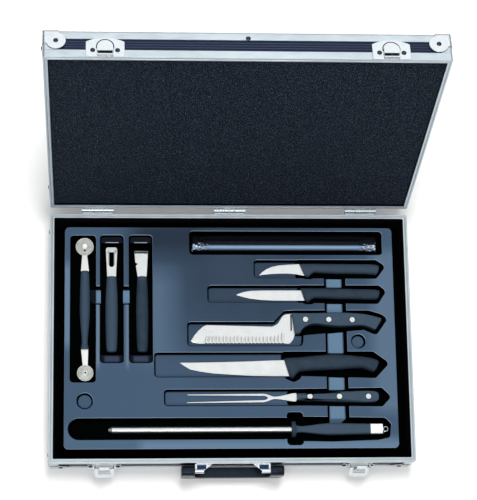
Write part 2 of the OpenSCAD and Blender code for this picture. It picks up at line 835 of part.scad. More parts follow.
module well(w)
    hull() for (p = w[0]) translate([p[0] + w[4][0], p[1] + w[4][1], w[1]])
        cylinder(r1 = w[2] - w[3], r2 = w[2], h = tray_z - w[1] + 0.01, $fn = 20);

module well_wall(w)
    hull() for (p = w[0]) translate([p[0] + w[4][0], p[1] + w[4][1], w[1] - sheet_t])
        cylinder(r1 = w[2] - w[3] + sheet_t, r2 = w[2] + sheet_t,
            h = tray_z - w[1] + sheet_t, $fn = 20);

// the raised block, with its walls leaning out towards the foot
module plateau(grow, top) {
    r = 6;
    lean = 2.5;
    hull() for (sx = [-1, 1]) for (y = [plateau_front + r, plateau_back - r])
        translate([sx * (plateau_x - r), y, floor_z - (grow < 0 ? 1 : 0)])
            cylinder(r1 = r + lean + grow, r2 = r + grow, h = top - floor_z + (grow < 0 ? 1 : 0),
                $fn = 24);
}

module tray() color("#46586f") {
    foot_x = half_w - rim_w - play;
    foot_y = half_d - rim_w - play;
    difference() {
        union() {
            difference() {
                union() {
                    plateau(0, tray_z);
                    slab(soft_rect(-foot_x, foot_x, -foot_y, foot_y, 3), floor_z,
                        floor_z + sheet_t);
                }
                plateau(-sheet_t, tray_z - sheet_t);
            }
            for (w = wells) well_wall(w);
        }
        for (w = wells) well(w);
    }
}

// tools: flat outlines at the height tool_z, with a third value that rounds each corner

module plate(points, t) slab(soft(points), tool_z - t / 2, tool_z + t / 2);

// a turned shape about a line along Y or X; points are [radius, position]
module turned_y(x, z, points)
    translate([x, 0, z]) rotate([-90, 0, 0]) rotate_extrude() polygon(points);

module turned_x(y, z, points)
    translate([0, y, z]) rotate([0, 90, 0]) rotate_extrude() polygon(points);

// melon baller

baller_x = -197.6;
top_scoop = [-198, 127.6];
low_scoop = [-196.8, -47];
low_scoop_r = 11;
scoop_t = 1;
baller_back = 93.5;
baller_front = -14.5;
neck_t = 2.4;

module bowl(at, r)
    translate([at[0], at[1], tool_z + scoop_lift]) rotate_extrude()
        difference() {
            circle(r);
            circle(r - scoop_t);
            translate([-2 * r, -2 * r]) square([2 * r, 4 * r]);
            translate([0, 0]) square(2 * r);
        }

module bowl_room(at, r)
    translate([at[0], at[1], tool_z + scoop_lift]) sphere(r - scoop_t / 2);

module baller_tangs() {
    plate([[baller_x - 3, baller_back - 12, 0], [baller_x + 3, baller_back - 12, 0],
        [baller_x + 3, baller_back, 0], [baller_x - 3, baller_back, 0]], neck_t);
    plate([[baller_x - 2.4, baller_front, 0], [baller_x + 2.4, baller_front, 0],
        [baller_x + 2.4, baller_front + 10, 0], [baller_x - 2.4, baller_front + 10, 0]], neck_t);
}

module baller_scoops() color("#e4e7e8") at_left() {
    difference() {
        union() {
            bowl(top_scoop, scoop_r);
            difference() {
                plate([[baller_x - 5.6, baller_back, 0], [baller_x + 5.6, baller_back, 0],
                    [top_scoop[0] + 3.5, top_scoop[1] - 11.4, 0],
                    [top_scoop[0] - 3.5, top_scoop[1] - 11.4, 0]], neck_t);
                bowl_room(top_scoop, scoop_r);
            }
            bowl(low_scoop, low_scoop_r);
            difference() {
                plate([[low_scoop[0] - 3.5, low_scoop[1] + 10, 0],
                    [low_scoop[0] + 3.5, low_scoop[1] + 10, 0], [baller_x + 5, baller_front, 0],
                    [baller_x - 5, baller_front, 0]], neck_t);
                bowl_room(low_scoop, low_scoop_r);
            }
            baller_tangs();
        }
        for (s = [[top_scoop[0], top_scoop[1] - 2.5], [low_scoop[0], low_scoop[1] + 2]])
            translate([s[0], s[1], tool_z - 20]) cylinder(r = 1.2, h = 40);
    }
}

module baller_handle() color("#17181b") at_left()
    difference() {
        turned_y(baller_x, tool_z, [[0, baller_front], [5.6, baller_front],
            [5.2, baller_front + 3], [4.1, baller_front + 8], [4.3, baller_front + 15],
            [5.6, 14], [6.7, 30], [7, 42], [6.8, 62], [6.2, 82], [5.9, 90], [4.8, baller_back],
            [0, baller_back]]);
        baller_tangs();
    }

// peeler and zester: both have the same handle

peeler_x = -161.3;
zester_x = -119.7;
grip_back = 86;
grip_front = -18.6;

module short_tang(x)
    plate([[x - 3, grip_back - 26, 0], [x + 3, grip_back - 26, 0], [x + 3, grip_back, 0],
        [x - 3, grip_back, 0]], blade_t);

module short_handle(x)
    difference() {
        plate([[x - 6.9, grip_back, 2], [x + 6.9, grip_back, 2], [x + 7.8, grip_back - 14, 8],
            [x + 8.6, 38, 20], [x + 8, 0, 12], [x + 6.8, grip_front, 6],
            [x - 6.8, grip_front, 6], [x - 8, 0, 12], [x - 8.6, 38, 20],
            [x - 7.8, grip_back - 14, 8]], small_handle_t);
        short_tang(x);
    }

peeler_end = 127;
slot_start = 99.6;
slot_end = 120;
slot_half = 3.1;
lip_w = 0.8;

module peeler_blade() color("#e4e7e8") at_left() translate([peeler_x, 0, 0]) {
    top = tool_z + blade_t / 2;
    difference() {
        plate([[-6.2, grip_back, 0], [6.2, grip_back, 0], [7.9, peeler_end - 2.5, 2],
            [6.3, peeler_end, 2], [-6.3, peeler_end, 2], [-7.9, peeler_end - 2.5, 2]], blade_t);
        plate([[-slot_half, slot_start, slot_half - 0.1], [slot_half, slot_start, slot_half - 0.1],
            [slot_half, slot_end, 1], [-slot_half, slot_end, 1]], 2 * blade_t);
    }
    short_tang(0);
    // the raised cutting lips along the slot, and the bridge that they end at
    for (s = [-1, 1]) translate([s * (slot_half + lip_w / 2) - lip_w / 2, slot_start + 3, top])
        cube([lip_w, slot_end - slot_start - 4, 1]);
    translate([0, 0, top]) linear_extrude(1.3)
        polygon(soft_rect(-slot_half - 1, slot_half + 1, slot_end, slot_end + 4.5, 1.4));
}

module peeler_handle() color("#17181b") at_left() short_handle(peeler_x);

zester_end = 122;
zest_r = 1.2;
zest_step = 3.7;
zest_collar = 0.6;

module zest_holes(r, z, h)
    for (i = [-2 : 2]) translate([i * zest_step - 1.1, zester_end - 2.4, z])
        cylinder(r = r, h = h);

module zester_blade() color("#e4e7e8") at_left() translate([zester_x, 0, 0]) {
    difference() {
        union() {
            // the notch on the left side peels a wider strip
            plate([[-6.3, grip_back, 0], [6.3, grip_back, 0], [8.4, zester_end, 1.5],
                [-10.6, zester_end, 1.5], [-9.4, 106, 0], [-6, 103.8, 0], [-8.6, 101.4, 0]],
                blade_t);
            zest_holes(zest_r + zest_collar, tool_z, blade_t / 2 + 0.8);
        }
        zest_holes(zest_r, tool_z - blade_t, 3 * blade_t);
    }
    short_tang(0);
}

module zester_handle() color("#17181b") at_left() short_handle(zester_x);

// tube with crimped ends

tube_x0 = -52;
tube_x1 = 203;
crimp_len = 24;
crimps = 5;

module tube() color("#101114") in_row(tube_y)
    translate([tube_x0 + crimp_len, tube_y, tube_z]) rotate([0, 90, 0])
        difference() {
            cylinder(r = tube_r, h = tube_x1 - tube_x0 - 2 * crimp_len);
            translate([0, 0, -1]) cylinder(r = tube_r - 1.5, h = tube_x1 - tube_x0);
        }

// each end is a closed plug with rings, and a spigot inside the tube
module tube_ends() color("#101114") in_row(tube_y) {
    step = crimp_len / crimps;
    profile = concat([[0, 0], [tube_r - 3.5, 0]],
        [for (i = [0 : crimps - 1]) each [[tube_r - 0.4, (i + 0.35) * step],
            [tube_r - 0.4, (i + 0.65) * step], [tube_r - 2, (i + 1) * step]]],
        [[tube_r - 1.5, crimp_len], [tube_r - 1.5, crimp_len + 8], [0, crimp_len + 8]]);
    turned_x(tube_y, tube_z, [for (p = profile) [p[0], tube_x0 + p[1]]]);
    turned_x(tube_y, tube_z, [for (i = [len(profile) - 1 : -1 : 0])
        [profile[i][0], tube_x1 - profile[i][1]]]);
}

// peeling knife with a curved blade

module peeling_tang()
    plate([[96, 91.5, 0], [150, 93.5, 0], [150, 99.5, 0], [96, 101, 0]], blade_t);

module peeling_blade() color("#e4e7e8") in_row(peeling_y) {
    plate([[40.7, 88.1, 0], [58, 90.6, 12], [84, 91, 12], [103.2, 87.6, 0], [96, 104.2, 0],
        [66, 102.6, 14], [50, 96, 8]], blade_t);
    peeling_tang();
}

module peeling_handle() color("#17181b") in_row(peeling_y)
    difference() {
        plate([[96, 104.4, 0], [200, 103.8, 6], [208.2, 101.4, 3], [203.6, 88.2, 3],
            [190, 89.8, 5], [150, 90, 15], [117, 92.6, 4], [111.5, 88.4, 2], [108.3, 84.8, 1],
            [103.4, 87.2, 0]], small_handle_t);
        peeling_tang();
    }

// kitchen knife

module kitchen_tang()
    plate([[96, 58, 0], [152, 58.5, 0], [152, 65, 0], [96, 65.5, 0]], blade_t);

module kitchen_blade() color("#e4e7e8") in_row(kitchen_y) {
    plate([[9, 60.8, 0], [24, 56, 10], [52, 52.9, 12], [102.4, 52.8, 0], [97.9, 67.2, 0],
        [40, 67.2, 24]], blade_t);
    kitchen_tang();
}

module kitchen_handle() color("#17181b") in_row(kitchen_y)
    difference() {
        plate([[97, 70.3, 0], [150, 69.6, 15], [200, 68.4, 6], [208, 67.4, 3], [203.6, 53.4, 3],
            [180, 54.2, 8], [116, 56.4, 4], [110.5, 53, 2], [107.2, 49.2, 1], [102.4, 53, 0]],
            small_handle_t);
        kitchen_tang();
    }

// serrated knife: full tang between two scales, three rivets

bread_outline = [[84, 34.4, 0], [110, 34.2, 12], [151, 35.4, 15], [186, 33.2, 10],
    [208.5, 26.8, 4], [198.4, 10.6, 3], [184, 18, 10], [147, 15.8, 15], [113, 20.2, 7],
    [100, 15, 6], [94.4, 5.8, 1], [88, 6, 0]];
bread_tang = soft(bread_outline);
bread_rivet_xy = [[102.5, 25.4], [134.4, 25.2], [166.5, 24.8]];
flutes = 22;

// the edge runs in shallow arcs from the tip to the heel
function fluted(x0, x1, y, count, depth) = [
    for (i = [0 : count - 1]) for (k = [0 : 3])
        [x0 + (x1 - x0) * (i + k / 4) / count, y + depth * sin(180 * k / 4)]
];

module bread_blade() color("#e4e7e8") in_row(bread_y)
    difference() {
        slab(concat([[-53.9, -3.1]], fluted(-42, 78, -6.8, flutes, 1.1),
            [[80, -7.2], [85.7, -1.2], [88, 6]],
            [for (i = [len(bread_tang) - 2 : -1 : 0]) bread_tang[i]],
            [[82.3, 34.2], [75.9, 33.4], [70.5, 29.5], [65, 20.5], [57, 16.6], [-32.2, 19],
                [-40.2, 14.2], [-48, 5.8]]),
            tool_z - blade_t / 2, tool_z + blade_t / 2);
        for (p = bread_rivet_xy) translate([p[0], p[1], 0])
            cylinder(r = scale_rivet_r, h = 100);
    }

module scales(outline, t, spots)
    difference() {
        plate(outline, t);
        translate([0, -200, tool_z - blade_t / 2]) cube([400, 400, blade_t]);
        for (p = spots) translate([p[0], p[1], 0]) cylinder(r = scale_rivet_r, h = 100);
    }

module scale_rivets(t, spots)
    for (p = spots) translate([p[0], p[1], tool_z - t / 2]) cylinder(r = scale_rivet_r, h = t);

module bread_scales() color("#26282c") in_row(bread_y)
    scales(bread_outline, bread_handle_t, bread_rivet_xy);

module bread_rivets() color("#c9cdd0") in_row(bread_y) scale_rivets(bread_handle_t, bread_rivet_xy);

// boning knife

module boning_tang()
    plate([[72, -43, 0], [150, -38, 0], [150, -29, 0], [72, -29.5, 0]], blade_t);

module boning_blade() color("#e4e7e8") in_row(boning_y) {
    plate([[-68.8, -33, 0], [-55.6, -42.6, 4], [-26, -47.6, 14], [30, -51.2, 20],
        [78.9, -51.6, 0], [72.4, -29.8, 0], [0, -31.6, 20]], blade_t);
    boning_tang();
}

module boning_handle() color("#17181b") in_row(boning_y)
    difference() {
        plate([[71.6, -26.8, 0], [90, -26, 8], [138, -21.2, 20], [182, -25.2, 15],
            [202.6, -29, 4], [195.4, -47.6, 3], [176, -40.2, 12], [150, -42.6, 10],
            [104, -44.6, 6], [91, -46, 4], [84.3, -55.6, 2], [79.5, -53.5, 0]],
            boning_handle_t);
        boning_tang();
    }

// two pronged fork: full tang between two scales, three rivets

fork_outline = [[89, fork_y + 4.2, 0], [186, fork_y + 8, 7], [200.2, fork_y + 6.6, 6],
    [200.2, fork_y - 6.6, 6], [186, fork_y - 8, 7], [89, fork_y - 4.2, 0]];
fork_rivet_xy = [[106, fork_y], [146, fork_y], [185.5, fork_y]];

module fork_steel() color("#e4e7e8") in_row(fork_y)
    difference() {
        union() {
            plate([[-61, -76, 0], [-58, -77.6, 0], [46, -78.6, 2], [50, -81.2, 1.5],
                [46, -84, 2], [-59, -86.6, 0], [-62, -88.2, 0], [46, -87.4, 4],
                [58, -82.8, 3], [66, -83.4, 3], [84, -86.4, 2], [88.6, -86.2, 0.5],
                [88.6, fork_y - 4.2, 0], [88.6, fork_y + 4.2, 0], [88.6, -74.6, 0.5],
                [84, -74.6, 2], [66, -78.6, 3], [58, -79.6, 3], [46, -75.2, 4]], blade_t);
            plate(concat([[88, fork_y + 4.2, 0]], fork_outline, [[88, fork_y - 4.2, 0]]),
                blade_t);
        }
        for (p = fork_rivet_xy) translate([p[0], p[1], 0])
            cylinder(r = scale_rivet_r, h = 100);
    }

module fork_scales() color("#26282c") in_row(fork_y)
    scales(fork_outline, fork_handle_t, fork_rivet_xy);

module fork_rivets() color("#c9cdd0") in_row(fork_y) scale_rivets(fork_handle_t, fork_rivet_xy);

// sharpening steel

steel_tip = -165.5 - 2 * group_x;
guard_x = 80.5;
guard_len = 5.8;
steel_end = 204;
eye_x = 205.2;
eye_t = 1.6;
eye_r = 1.3;
ring_r = 3.2;
wire_r = 0.8;
tang_r = 3;

module steel_rod() color("#e4e7e8") in_row(steel_y)
    turned_x(steel_y, tool_z, [[0, steel_tip], [rod_r - 2.4, steel_tip], [rod_r, steel_tip + 5],
        [rod_r, guard_x], [tang_r, guard_x], [tang_r, guard_x + 60], [0, guard_x + 60]]);

module steel_guard() color("#2a2c30") in_row(steel_y)
    turned_x(steel_y, tool_z, [[tang_r, guard_x], [guard_r - 1, guard_x],
        [guard_r, guard_x + 1.2], [guard_r, guard_x + guard_len - 1.2],
        [guard_r - 1, guard_x + guard_len], [tang_r, guard_x + guard_len]]);

module eye_tab()
    translate([steel_end - 8, steel_y - eye_t / 2, tool_z - 2.2])
        cube([eye_x - steel_end + 8, eye_t, 4.4]);

module steel_handle() color("#2a2c30") in_row(steel_y) {
    start = guard_x + guard_len;
    difference() {
        turned_x(steel_y, tool_z, [[tang_r, start], [5.6, start], [4.5, start + 4],
            [4.1, start + 8], [4.7, start + 15], [6.2, start + 25], [7.6, start + 36],
            [8.1, start + 46], [7.9, start + 62], [7.3, start + 82], [7, start + 100],
            [6.9, steel_end - 3], [5.9, steel_end], [0, steel_end], [0, guard_x + 60],
            [tang_r, guard_x + 60]]);
        eye_tab();
    }
}

// the eye is a flat tab whose cross hole carries the hanging ring
module steel_eye() color("#c9cdd0") in_row(steel_y)
    difference() {
        union() {
            eye_tab();
            translate([eye_x, steel_y + eye_t / 2, tool_z]) rotate([90, 0, 0])
                cylinder(r = 2.2, h = eye_t);
        }
        translate([eye_x, steel_y + 5, tool_z]) rotate([90, 0, 0]) cylinder(r = eye_r, h = 10);
    }

module steel_ring() color("#d4d8da") in_row(steel_y)
    translate([eye_x + ring_r, steel_y, tool_z])
        rotate_extrude() translate([ring_r, 0]) circle(wire_r);

base_rim_profile();
base_edge_profile();
base_corner_posts();
base_wall_panels();
base_bottom_panel();
base_lining();
base_corner_caps();
base_rivets();
tray();
latch_plates();
latch_pivot_pins();
handle_bracket();
handle_pins();
hinge_base_leaves();
hinge_pins();
lid_rim_profile();
lid_edge_profile();
lid_corner_posts();
lid_wall_panels();
lid_top_panel();
lid_foam();
lid_corner_caps();
lid_rivets();
lid_keepers();
hinge_lid_leaves();
left_lever();
right_lever();
left_claw();
right_claw();
carry_grip();
baller_scoops();
baller_handle();
peeler_blade();
peeler_handle();
zester_blade();
zester_handle();
tube();
tube_ends();
peeling_blade();
peeling_handle();
kitchen_blade();
kitchen_handle();
bread_blade();
bread_scales();
bread_rivets();
boning_blade();
boning_handle();
fork_steel();
fork_scales();
fork_rivets();
steel_rod();
steel_guard();
steel_handle();
steel_eye();
steel_ring();
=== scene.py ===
"""Chef's knife case: aluminium framed, open on a pale studio floor, with ten tools in its tray.

Lengths are written in millimetres in the case's own frame and turned to metres by MM.
"""

import json
import math

import bmesh
import bpy
from mathutils import Matrix, Vector, noise


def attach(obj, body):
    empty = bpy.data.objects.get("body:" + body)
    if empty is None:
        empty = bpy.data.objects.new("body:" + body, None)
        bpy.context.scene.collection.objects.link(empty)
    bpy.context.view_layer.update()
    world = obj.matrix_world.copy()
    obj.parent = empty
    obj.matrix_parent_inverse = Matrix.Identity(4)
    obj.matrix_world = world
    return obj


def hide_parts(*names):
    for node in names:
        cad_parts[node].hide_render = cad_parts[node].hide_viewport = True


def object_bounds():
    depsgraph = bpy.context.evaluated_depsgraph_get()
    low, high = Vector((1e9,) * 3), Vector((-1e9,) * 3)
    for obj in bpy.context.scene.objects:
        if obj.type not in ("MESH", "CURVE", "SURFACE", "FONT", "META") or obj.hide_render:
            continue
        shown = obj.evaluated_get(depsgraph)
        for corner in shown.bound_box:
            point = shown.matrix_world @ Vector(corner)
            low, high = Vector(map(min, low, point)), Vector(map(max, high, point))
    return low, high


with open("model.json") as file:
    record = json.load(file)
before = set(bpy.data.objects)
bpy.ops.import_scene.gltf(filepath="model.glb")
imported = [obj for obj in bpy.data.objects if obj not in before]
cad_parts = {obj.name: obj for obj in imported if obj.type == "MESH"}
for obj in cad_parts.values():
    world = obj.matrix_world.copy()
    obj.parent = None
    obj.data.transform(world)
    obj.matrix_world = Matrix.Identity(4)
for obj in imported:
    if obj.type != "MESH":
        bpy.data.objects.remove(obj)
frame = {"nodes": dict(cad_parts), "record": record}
cad_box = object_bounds()

MM = 0.001
CAD = frame["nodes"]
TOOL_Z = 41.0  # the plane through the middles of the tools
TUBE_START, TUBE_END, TUBE_Y, TUBE_RADIUS, CRUMPLED_END = -52.0, 203.0, 131.8, 13.0, 25.0
HINGE = Vector((0, 175, 60.2))
LID_OPEN = math.radians(107)
LID_TURN = Matrix.Rotation(-LID_OPEN, 3, "X")
RIB_FIRST, RIB_PITCH = 73.65, 3.7  # heights of the lid's ribs while it is shut
LATCH_X = 171
TONGUE_FOOT, TONGUE_Z, TONGUE_R = 72, 75.4, 10.2  # the keepers' tongues, lid shut
scene = bpy.context.scene


# ---------------------------------------------------------------- camera

PHOTO_W, PHOTO_H = 477, 500
FOCAL_PX = 1635.5
CENTRE_PX = (196.3, 277.6)
YAW, PITCH, ROLL = (math.radians(a) for a in (15.389, 77.457, 15.112))
EYE = Vector((-174.5, -383.9, 2226.7)) * MM


def camera_axes(yaw, pitch, roll):
    """Right, up and forward of a camera that looks down by pitch and leans by roll."""
    forward = Vector((math.sin(yaw) * math.cos(pitch), math.cos(yaw) * math.cos(pitch),
                      -math.sin(pitch)))
    right = Vector((math.cos(yaw), -math.sin(yaw), 0.0))
    up = right.cross(forward)
    return (right * math.cos(roll) + up * math.sin(roll),
            up * math.cos(roll) - right * math.sin(roll), forward)


def make_camera():
    """The camera that a fit to the case's corners gave; its lens is shifted off centre."""
    data = bpy.data.cameras.new("camera")
    data.sensor_fit = "VERTICAL"
    data.sensor_height = 36.0
    data.lens = FOCAL_PX * data.sensor_height / PHOTO_H
    data.shift_x = (PHOTO_W / 2 - CENTRE_PX[0]) / PHOTO_H
    data.shift_y = (CENTRE_PX[1] - PHOTO_H / 2) / PHOTO_H
    data.clip_end = 50.0
    right, up, forward = camera_axes(YAW, PITCH, ROLL)
    camera = bpy.data.objects.new("camera", data)
    camera.matrix_world = Matrix((
        (right.x, up.x, -forward.x, EYE.x),
        (right.y, up.y, -forward.y, EYE.y),
        (right.z, up.z, -forward.z, EYE.z),
        (0, 0, 0, 1)))
    scene.collection.objects.link(camera)
    scene.camera = camera


make_camera()
scene.view_settings.view_transform = "Standard"


# ---------------------------------------------------------------- materials

def linear(hex_code):
    """An sRGB hex colour as linear RGBA."""
    parts = [int(hex_code[i:i + 2], 16) / 255 for i in (1, 3, 5)]
    return [c / 12.92 if c <= 0.04045 else ((c + 0.055) / 1.055) ** 2.4 for c in parts] + [1.0]


def add(tree, kind, inputs=None, **settings):
    """A new node of the tree, with its settings, and values or links on its inputs."""
    node = tree.nodes.new(kind)
    for name, value in settings.items():
        setattr(node, name, value)
    for key, value in (inputs or {}).items():
        if isinstance(value, bpy.types.NodeSocket):
            tree.links.new(value, node.inputs[key])
        else:
            node.inputs[key].default_value = value
    return node


def blank_material(name):
    material = bpy.data.materials.new(name)
    material.use_nodes = True
    material.node_tree.nodes.clear()
    return material, material.node_tree


def surface(tree, inputs):
    shader = add(tree, "ShaderNodeBsdfPrincipled", inputs)
    add(tree, "ShaderNodeOutputMaterial", {"Surface": shader.outputs[0]})


def here(tree):
    """The place on the piece, in Object coordinates."""
    return add(tree, "ShaderNodeTexCoord").outputs["Object"]


def axes(tree, vector):
    """The X, Y and Z of a vector."""
    return add(tree, "ShaderNodeSeparateXYZ", {"Vector": vector}).outputs


def maths(tree, operation, *values):
    return add(tree, "ShaderNodeMath", dict(enumerate(values)), operation=operation).outputs[0]


def spots(tree, size_mm, detail=2.0, stretch=(1, 1, 1)):
    """Noise on Object coordinates whose grains are about size_mm across."""
    scaled = add(tree, "ShaderNodeMapping", {"Vector": here(tree), "Scale": stretch})
    return add(tree, "ShaderNodeTexNoise", {
        "Vector": scaled.outputs[0], "Scale": 1 / (size_mm * MM), "Detail": detail}).outputs[0]


def between(tree, value, low, high, to_low=0.0, to_high=1.0):
    """value taken from the range low..high to to_low..to_high, kept inside it."""
    return add(tree, "ShaderNodeMapRange", {
        "Value": value, "From Min": low, "From Max": high,
        "To Min": to_low, "To Max": to_high}).outputs[0]


def spread(tree, grain, low, high):
    """Noise, which seldom leaves 0.3 to 0.7, taken from there to low..high."""
    return between(tree, grain, 0.3, 0.7, low, high)


def blend_colours(tree, share, first, second):
    """first where share is 0, second where it is 1; 6 and 7 are the two colour inputs."""
    return add(tree, "ShaderNodeMix", {"Factor": share, 6: first, 7: second},
               data_type="RGBA").outputs[2]


def mottled(tree, size_mm, dark, pale):
    """A colour that wanders between two hex colours in spots of about size_mm."""
    return blend_colours(tree, spots(tree, size_mm), linear(dark), linear(pale))


def product(tree, first, second):
    return maths(tree, "MULTIPLY", first, second)


def dotted(tree, vector, direction):
    """How far a vector points along a direction."""
    return add(tree, "ShaderNodeVectorMath", {0: vector, 1: direction},
               operation="DOT_PRODUCT").outputs["Value"]


def place_when_shut(tree):
    """A lid surface's place as it would be with the lid shut, in X, Y and Z."""
    back = Matrix.Rotation(LID_OPEN, 3, "X")
    shut = add(tree, "ShaderNodeMapping", {
        "Vector": here(tree), "Rotation": (LID_OPEN, 0, 0),
        "Location": (HINGE - back @ HINGE) * MM})
    return axes(tree, shut.outputs[0])


def inside_box(tree, x, y, box, border, share=1.0):
    """share inside left, right, front and rear in millimetres, 0 outside, with a soft
    border."""
    left, right, front, rear = box
    for coordinate, low, high in ((x, left, right), (y, front, rear)):
        off = maths(tree, "ABSOLUTE",
                    maths(tree, "SUBTRACT", coordinate, (low + high) / 2 * MM))
        half = (high - low) / 2 * MM
        share = product(tree, share, between(tree, off, half - border * MM, half, 1.0, 0.0))
    return share


def bump(tree, height, distance_mm, strength):
    return add(tree, "ShaderNodeBump", {
        "Height": height, "Distance": distance_mm * MM, "Strength": strength}).outputs[0]


BLUISH, PALE_BLUISH = linear("#b4cdf2"), linear("#b9d2f5")  # tints of the plastics' shine


def anodised_aluminium():
    # satin silver extrusion: soft broad reflections with faint drawing lines
    material, tree = blank_material("anodised_aluminium_satin")
    cloud = spots(tree, 60, 3)
    grain = spots(tree, 0.9, stretch=(0.06, 0.06, 1))
    surface(tree, {
        "Base Color": blend_colours(tree, cloud, linear("#abb7be"), linear("#c7d1d7")),
        "Metallic": 1.0,
        "Roughness": spread(tree, grain, 0.30, 0.42),
        "Normal": bump(tree, grain, 0.03, 0.35)})
    return material


def pressed_nickel(keeper=False):
    # nickel plated pressed steel: bright, slightly soft, with faint press marks; a keeper
    # gets a painted shade line in the gap round the tongue that is pressed out of it
    material, tree = blank_material("nickel_plated_pressing" if keeper
                                    else "nickel_plated_steel")
    marks = spots(tree, 4, 4)
    plate = blend_colours(tree, marks, linear("#b4bbc0"), linear("#cbd1d4"))
    if keeper:
        shut = place_when_shut(tree)
        aside = maths(tree, "SUBTRACT", maths(tree, "ABSOLUTE", shut["X"]), LATCH_X * MM)
        above = maths(tree, "SUBTRACT", shut["Z"], TONGUE_Z * MM)
        from_middle = add(tree, "ShaderNodeCombineXYZ", {
            "X": aside, "Y": maths(tree, "MAXIMUM", above, 0.0)}).outputs[0]
        distance = add(tree, "ShaderNodeVectorMath", {0: from_middle},
                       operation="LENGTH").outputs["Value"]
        off = maths(tree, "ABSOLUTE", maths(tree, "SUBTRACT", distance, TONGUE_R * MM))
        # painted shade: a dark line in the gap round the tongue, and along its foot
        painted_gap_shade = product(tree, between(tree, off, 0.4 * MM, 0.9 * MM, 1.0, 0.0),
                       between(tree, shut["Z"], TONGUE_FOOT * MM, (TONGUE_FOOT + 0.4) * MM))
        plate = blend_colours(tree, painted_gap_shade, plate, linear("#20262e"))
    surface(tree, {
        "Base Color": plate,
        "Metallic": 1.0,
        "Roughness": between(tree, marks, 0.35, 0.65, 0.2, 0.32),
        "Normal": bump(tree, marks, 0.05, 0.3)})
    return material


def chrome(name="chrome_plate", painted_dark_box=None):
    # bright chrome plate over a pressed part: mirror like, with a slight ripple; on the ears of
    # the grip's bracket and in the levers' windows a dark reflection and shade is painted in
    # their middle
    material, tree = blank_material(name)
    ripple = spots(tree, 9, 1)
    plate = blend_colours(tree, ripple, linear("#bcc3c8"), linear("#ced4d7"))
    if painted_dark_box:
        # painted reflection and shade: a dark blue patch inside the given box
        place = axes(tree, here(tree))
        dark = inside_box(tree, maths(tree, "ABSOLUTE", place["X"]), place["Y"], painted_dark_box,
                          border=0.9)
        room = blend_colours(tree, between(tree, spots(tree, 1.6), 0.4, 0.6),
                             linear("#0a1120"), linear("#2f4570"))
        plate = blend_colours(tree, dark, plate, room)
    surface(tree, {
        "Base Color": plate,
        "Metallic": 1.0,
        "Roughness": spread(tree, spots(tree, 2.5, 3), 0.08, 0.16),
        "Normal": bump(tree, ripple, 0.12, 0.3)})
    return material


def dark_rivet():
    # smoked nickel rivets: dark domes with one sharp highlight
    material, tree = blank_material("smoked_nickel_plate")
    surface(tree, {
        "Base Color": mottled(tree, 2, "#2c3138", "#3d434b"),
        "Metallic": 1.0, "Roughness": 0.12})
    return material


def polished_steel():
    # stainless blades, ground lengthwise and polished: nearly white under a soft light
    material, tree = blank_material("polished_stainless_steel")
    scratches = spots(tree, 0.5, stretch=(0.05, 1, 1))
    surface(tree, {
        "Base Color": mottled(tree, 14, "#c4c8c9", "#d8dbdb"),
        "Metallic": 1.0,
        "Roughness": spread(tree, scratches, 0.26, 0.4),
        "Normal": bump(tree, scratches, 0.02, 0.25)})
    return material


def satin_steel():
    # pressed stainless of the scoops: tumbled, so that the bowls look evenly pale
    material, tree = blank_material("tumbled_stainless_steel")
    surface(tree, {
        "Base Color": mottled(tree, 3, "#dcdfdc", "#ecedea"),
        "Metallic": 1.0, "Roughness": 0.42})
    return material


def ribbed_sheet(lid=False):
    # black ABS sheet of the walls: semi gloss, so that its ribs draw light and dark lines; on
    # the lid these lines are painted as well
    material, tree = blank_material("black_abs_lid_sheet" if lid else "black_abs_sheet")
    grain = spots(tree, 0.7)
    sheet = blend_colours(tree, grain, linear("#080c16"), linear("#0e1424"))
    if lid:
        # painted highlight and shade: the side of each rib that leans to the rim is painted
        # pale, the other one dark
        turn = maths(tree, "MULTIPLY_ADD", place_when_shut(tree)["Z"],
                     2 * math.pi / (RIB_PITCH * MM), -2 * math.pi * RIB_FIRST / RIB_PITCH)
        wave = maths(tree, "SINE", turn)
        sheet = blend_colours(tree, between(tree, wave, 0.2, 0.8), sheet, linear("#010102"))
        sheet = blend_colours(tree, between(tree, wave, -0.95, -0.5, 1.0, 0.0), sheet,
                              linear("#212b41"))
    surface(tree, {
        "Base Color": sheet,
        "Roughness": spread(tree, grain, 0.18, 0.28), "IOR": 1.5,
        "Specular IOR Level": 0.45, "Specular Tint": linear("#9fb4e6"),
        "Normal": bump(tree, grain, 0.03, 0.4)})
    return material


